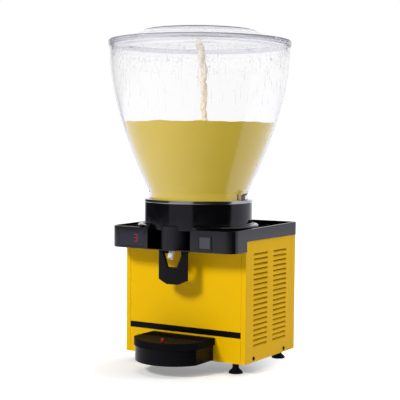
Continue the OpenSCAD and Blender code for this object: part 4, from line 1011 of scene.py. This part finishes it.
class DISPENSER_OT_stage(bpy.types.Operator):
    """Sets the floor, the soft lights, the pale surround and the camera"""
    bl_idname = "dispenser.stage"
    bl_label = "Studio"
    # Camera: degrees from the front towards the right, degrees down, roll in radians, place, focal length
    HEADING, PITCH, ROLL = 31.12, 2.893, 0.0093
    EYE = (1.1219, -1.8525, 0.4442)
    FOCUS = 96.12
    # Floor: half its side, the middle of its shade, where that starts and ends to fade, and its level
    HALF = 12
    SHADE_AT = (0.0, -0.09, 0)
    SHADE_FADE = (0.15, 0.31)
    SHADE_LEVEL = 0.27
    # Mirrors see the room, and no longer the sweep, past these distances
    ROOM = (3.2, 4.2)
    # What mirrors see round the object: degrees to the right of the camera, and brightness there
    NEAR = ((-180, 1.0), (-70, 1.0), (-35, 0.75), (35, 0.08), (66, 0.06), (70, 1.0), (180, 1.0))
    FAR = ((-180, 1.0), (-158, 1.0), (-148, 0.03), (-65, 0.02), (-62.8, 0.42), (-15, 0.42), (-9, 0.02),
           (70, 0.02), (76, 0.75), (140, 0.75), (148, 1.0), (180, 1.0))

    def execute(self, context):
        looks = context.scene.dispenser.stage
        self.floor()
        self.surround(context, looks)
        self.lamp("front_softbox", (-0.45, -2.05, 1.54), (0, -0.05, 0.25), 0.5, 0.5, looks.key)
        self.lamp("right_softbox", (1.85, 0.9, 1.1), (0, 0.0, 0.3), 1.0, 1.6, looks.side)
        self.lamp("top_softbox", (0.1, 0.2, 2.6), (0, 0, 0.3), 2.4, 2.4, looks.top)
        self.camera(context)
        context.scene.view_settings.view_transform = "Standard"
        return {"FINISHED"}

    def seen(self, tree):
        """1 for rays from the camera, from mirrors and through clear walls, else 0."""
        path = add(tree, "ShaderNodeLightPath")
        first = add(tree, "ShaderNodeMath", {
            0: path.outputs["Is Camera Ray"], 1: path.outputs["Is Glossy Ray"]}, operation="MAXIMUM")
        both = add(tree, "ShaderNodeMath", {
            0: first.outputs[0], 1: path.outputs["Is Transmission Ray"]}, operation="MAXIMUM")
        return both.outputs[0]

    def floor(self):
        """A white sweep with a soft shade under the object, and what mirrors see of the room."""
        mesh = bpy.data.meshes.new("floor")
        h = self.HALF
        mesh.from_pydata([(-h, -h, 0), (h, -h, 0), (h, h, 0), (-h, h, 0)], [], [(0, 1, 2, 3)])
        obj = link("floor", mesh)
        material = bpy.data.materials.new("white paper sweep")
        material.use_nodes = True
        tree = material.node_tree
        tree.nodes.clear()
        place = add(tree, "ShaderNodeTexCoord")
        far = add(tree, "ShaderNodeVectorMath", {0: place.outputs["Object"]}, operation="LENGTH")
        shade = add(tree, "ShaderNodeVectorMath", {0: place.outputs["Object"]}, operation="DISTANCE")
        shade.inputs[1].default_value = self.SHADE_AT
        lift = add(tree, "ShaderNodeMapRange", {"Value": shade.outputs["Value"]},
                   From_Min=self.SHADE_FADE[0], From_Max=self.SHADE_FADE[1],
                   To_Min=self.SHADE_LEVEL, To_Max=1.0)
        path = add(tree, "ShaderNodeLightPath")
        paper = add(tree, "ShaderNodeBsdfDiffuse", Color=linear("#F0F0F0"))
        glow = add(tree, "ShaderNodeEmission", {"Strength": self.share(tree, lift.outputs[0])},
                   Color=(1, 1, 1, 1))
        both = add(tree, "ShaderNodeAddShader", {0: paper.outputs[0], 1: glow.outputs[0]})
        # Mirrors see the sweep near the object and the room beyond it, clear walls the white sweep
        beyond = add(tree, "ShaderNodeMapRange", {"Value": far.outputs["Value"]},
                     From_Min=self.ROOM[0], From_Max=self.ROOM[1])
        near = self.around(tree, place.outputs["Object"], self.NEAR)
        distant = add(tree, "ShaderNodeMath", {
            0: self.around(tree, place.outputs["Object"], self.FAR), 1: path.outputs["Is Transmission Ray"]},
            operation="MAXIMUM")
        room = add(tree, "ShaderNodeMix", {
            "Factor": beyond.outputs[0], 2: near, 3: distant.outputs[0]}, data_type="FLOAT")
        mirror = add(tree, "ShaderNodeEmission", {"Strength": room.outputs[0]}, Color=linear("#F2F3FF"))
        sight = add(tree, "ShaderNodeMixShader", {
            0: path.outputs["Is Glossy Ray"], 1: both.outputs[0], 2: mirror.outputs[0]})
        add(tree, "ShaderNodeOutputMaterial", {"Surface": sight.outputs[0]})
        mesh.materials.append(material)

    def around(self, tree, vector, stops):
        """Brightness by a vector's compass direction, between stops in degrees right of the camera."""
        turn = math.radians(self.HEADING)
        ahead = add(tree, "ShaderNodeVectorMath", {0: vector}, operation="DOT_PRODUCT")
        ahead.inputs[1].default_value = (math.sin(turn), -math.cos(turn), 0)
        right = add(tree, "ShaderNodeVectorMath", {0: vector}, operation="DOT_PRODUCT")
        right.inputs[1].default_value = (math.cos(turn), math.sin(turn), 0)
        angle = add(tree, "ShaderNodeMath", {0: right.outputs["Value"], 1: ahead.outputs["Value"]},
                    operation="ARCTAN2")
        share = add(tree, "ShaderNodeMapRange", {"Value": angle.outputs[0]},
                    From_Min=-math.pi, From_Max=math.pi)
        ramp = add(tree, "ShaderNodeValToRGB", {"Fac": share.outputs[0]})
        points = ramp.color_ramp.elements
        points.remove(points[1])
        for i, (degrees, level) in enumerate(stops):
            point = points.new((degrees + 180) / 360) if i else points[0]
            point.color = (level, level, level, 1)
        return ramp.outputs["Color"]

    def share(self, tree, strength):
        """A strength that only seen rays get."""
        lift = add(tree, "ShaderNodeMath", {0: self.seen(tree), 1: strength}, operation="MULTIPLY")
        return lift.outputs[0]

    def surround(self, context, looks):
        """White for what is seen, even grey light on the object, and a dim room in front for mirrors."""
        world = bpy.data.worlds.new("studio")
        context.scene.world = world
        world.use_nodes = True
        tree = world.node_tree
        tree.nodes.clear()
        path = add(tree, "ShaderNodeLightPath")
        place = add(tree, "ShaderNodeTexCoord")
        along = self.around(tree, place.outputs["Generated"], self.FAR)
        through = add(tree, "ShaderNodeMath", {
            0: path.outputs["Is Camera Ray"], 1: path.outputs["Is Transmission Ray"]}, operation="MAXIMUM")
        glossy = add(tree, "ShaderNodeMix", {
            "Factor": path.outputs["Is Glossy Ray"], 3: along}, data_type="FLOAT")
        glossy.inputs[2].default_value = looks.fill
        level = add(tree, "ShaderNodeMix", {
            "Factor": through.outputs[0], 2: glossy.outputs[0]}, data_type="FLOAT")
        level.inputs[3].default_value = 1.0
        back = add(tree, "ShaderNodeBackground", {"Strength": level.outputs[0]}, Color=(1, 1, 1, 1))
        add(tree, "ShaderNodeOutputWorld", {"Surface": back.outputs[0]})

    def lamp(self, name, at, to, width, height, power):
        """A softbox that lights the object and that no mirror or clear wall shows."""
        light = bpy.data.lights.new(name, "AREA")
        light.shape = "RECTANGLE"
        light.size = width
        light.size_y = height
        light.energy = power
        obj = link(name, light)
        obj.visible_glossy = False
        obj.visible_transmission = False
        way = Vector(to) - Vector(at)
        obj.matrix_world = Matrix.Translation(at) @ way.to_track_quat("-Z", "Y").to_matrix().to_4x4()

    def camera(self, context):
        """The photograph's viewpoint: from the right front, a little above the head."""
        lens = bpy.data.cameras.new("camera")
        lens.lens = self.FOCUS
        lens.sensor_width = 36
        lens.clip_end = 60
        obj = link("camera", lens)
        turn, pitch = math.radians(self.HEADING), math.radians(self.PITCH)
        aim = Matrix.Rotation(turn, 4, "Z") @ Matrix.Rotation(math.pi / 2 - pitch, 4, "X")
        obj.matrix_world = Matrix.Translation(self.EYE) @ aim @ Matrix.Rotation(self.ROLL, 4, "Z")
        context.scene.camera = obj


STEPS = (
    DISPENSER_OT_cabinet, DISPENSER_OT_screws, DISPENSER_OT_head, DISPENSER_OT_bowl, DISPENSER_OT_lid,
    DISPENSER_OT_drink, DISPENSER_OT_jet, DISPENSER_OT_drops, DISPENSER_OT_tap, DISPENSER_OT_controls,
    DISPENSER_OT_drip_tray, DISPENSER_OT_cooling, DISPENSER_OT_stage,
)


class DISPENSER_PT_panel(bpy.types.Panel):
    """Lists the steps that build the dispenser"""
    bl_idname = "DISPENSER_PT_panel"
    bl_label = "Dispenser"
    bl_space_type = "VIEW_3D"
    bl_region_type = "UI"
    bl_category = "Dispenser"

    def draw(self, context):
        for step in STEPS:
            self.layout.operator(step.bl_idname)
        settings = context.scene.dispenser
        for group in (settings.cabinet, settings.bowl, settings.drink, settings.stage):
            for key in group.bl_rna.properties.keys():
                if key not in ("rna_type", "name"):
                    self.layout.prop(group, key)


CLASSES = (CabinetLooks, BowlSizes, DrinkLooks, StageLooks, DispenserSettings) + STEPS + (DISPENSER_PT_panel,)


def register():
    for cls in CLASSES:
        bpy.utils.register_class(cls)
    bpy.types.Scene.dispenser = bpy.props.PointerProperty(type=DispenserSettings)


def unregister():
    del bpy.types.Scene.dispenser
    for cls in reversed(CLASSES):
        bpy.utils.unregister_class(cls)


def main():
    register()
    for step in STEPS:
        group, name = step.bl_idname.split(".")
        getattr(getattr(bpy.ops, group), name)()
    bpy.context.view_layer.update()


if __name__ == "__main__":
    main()
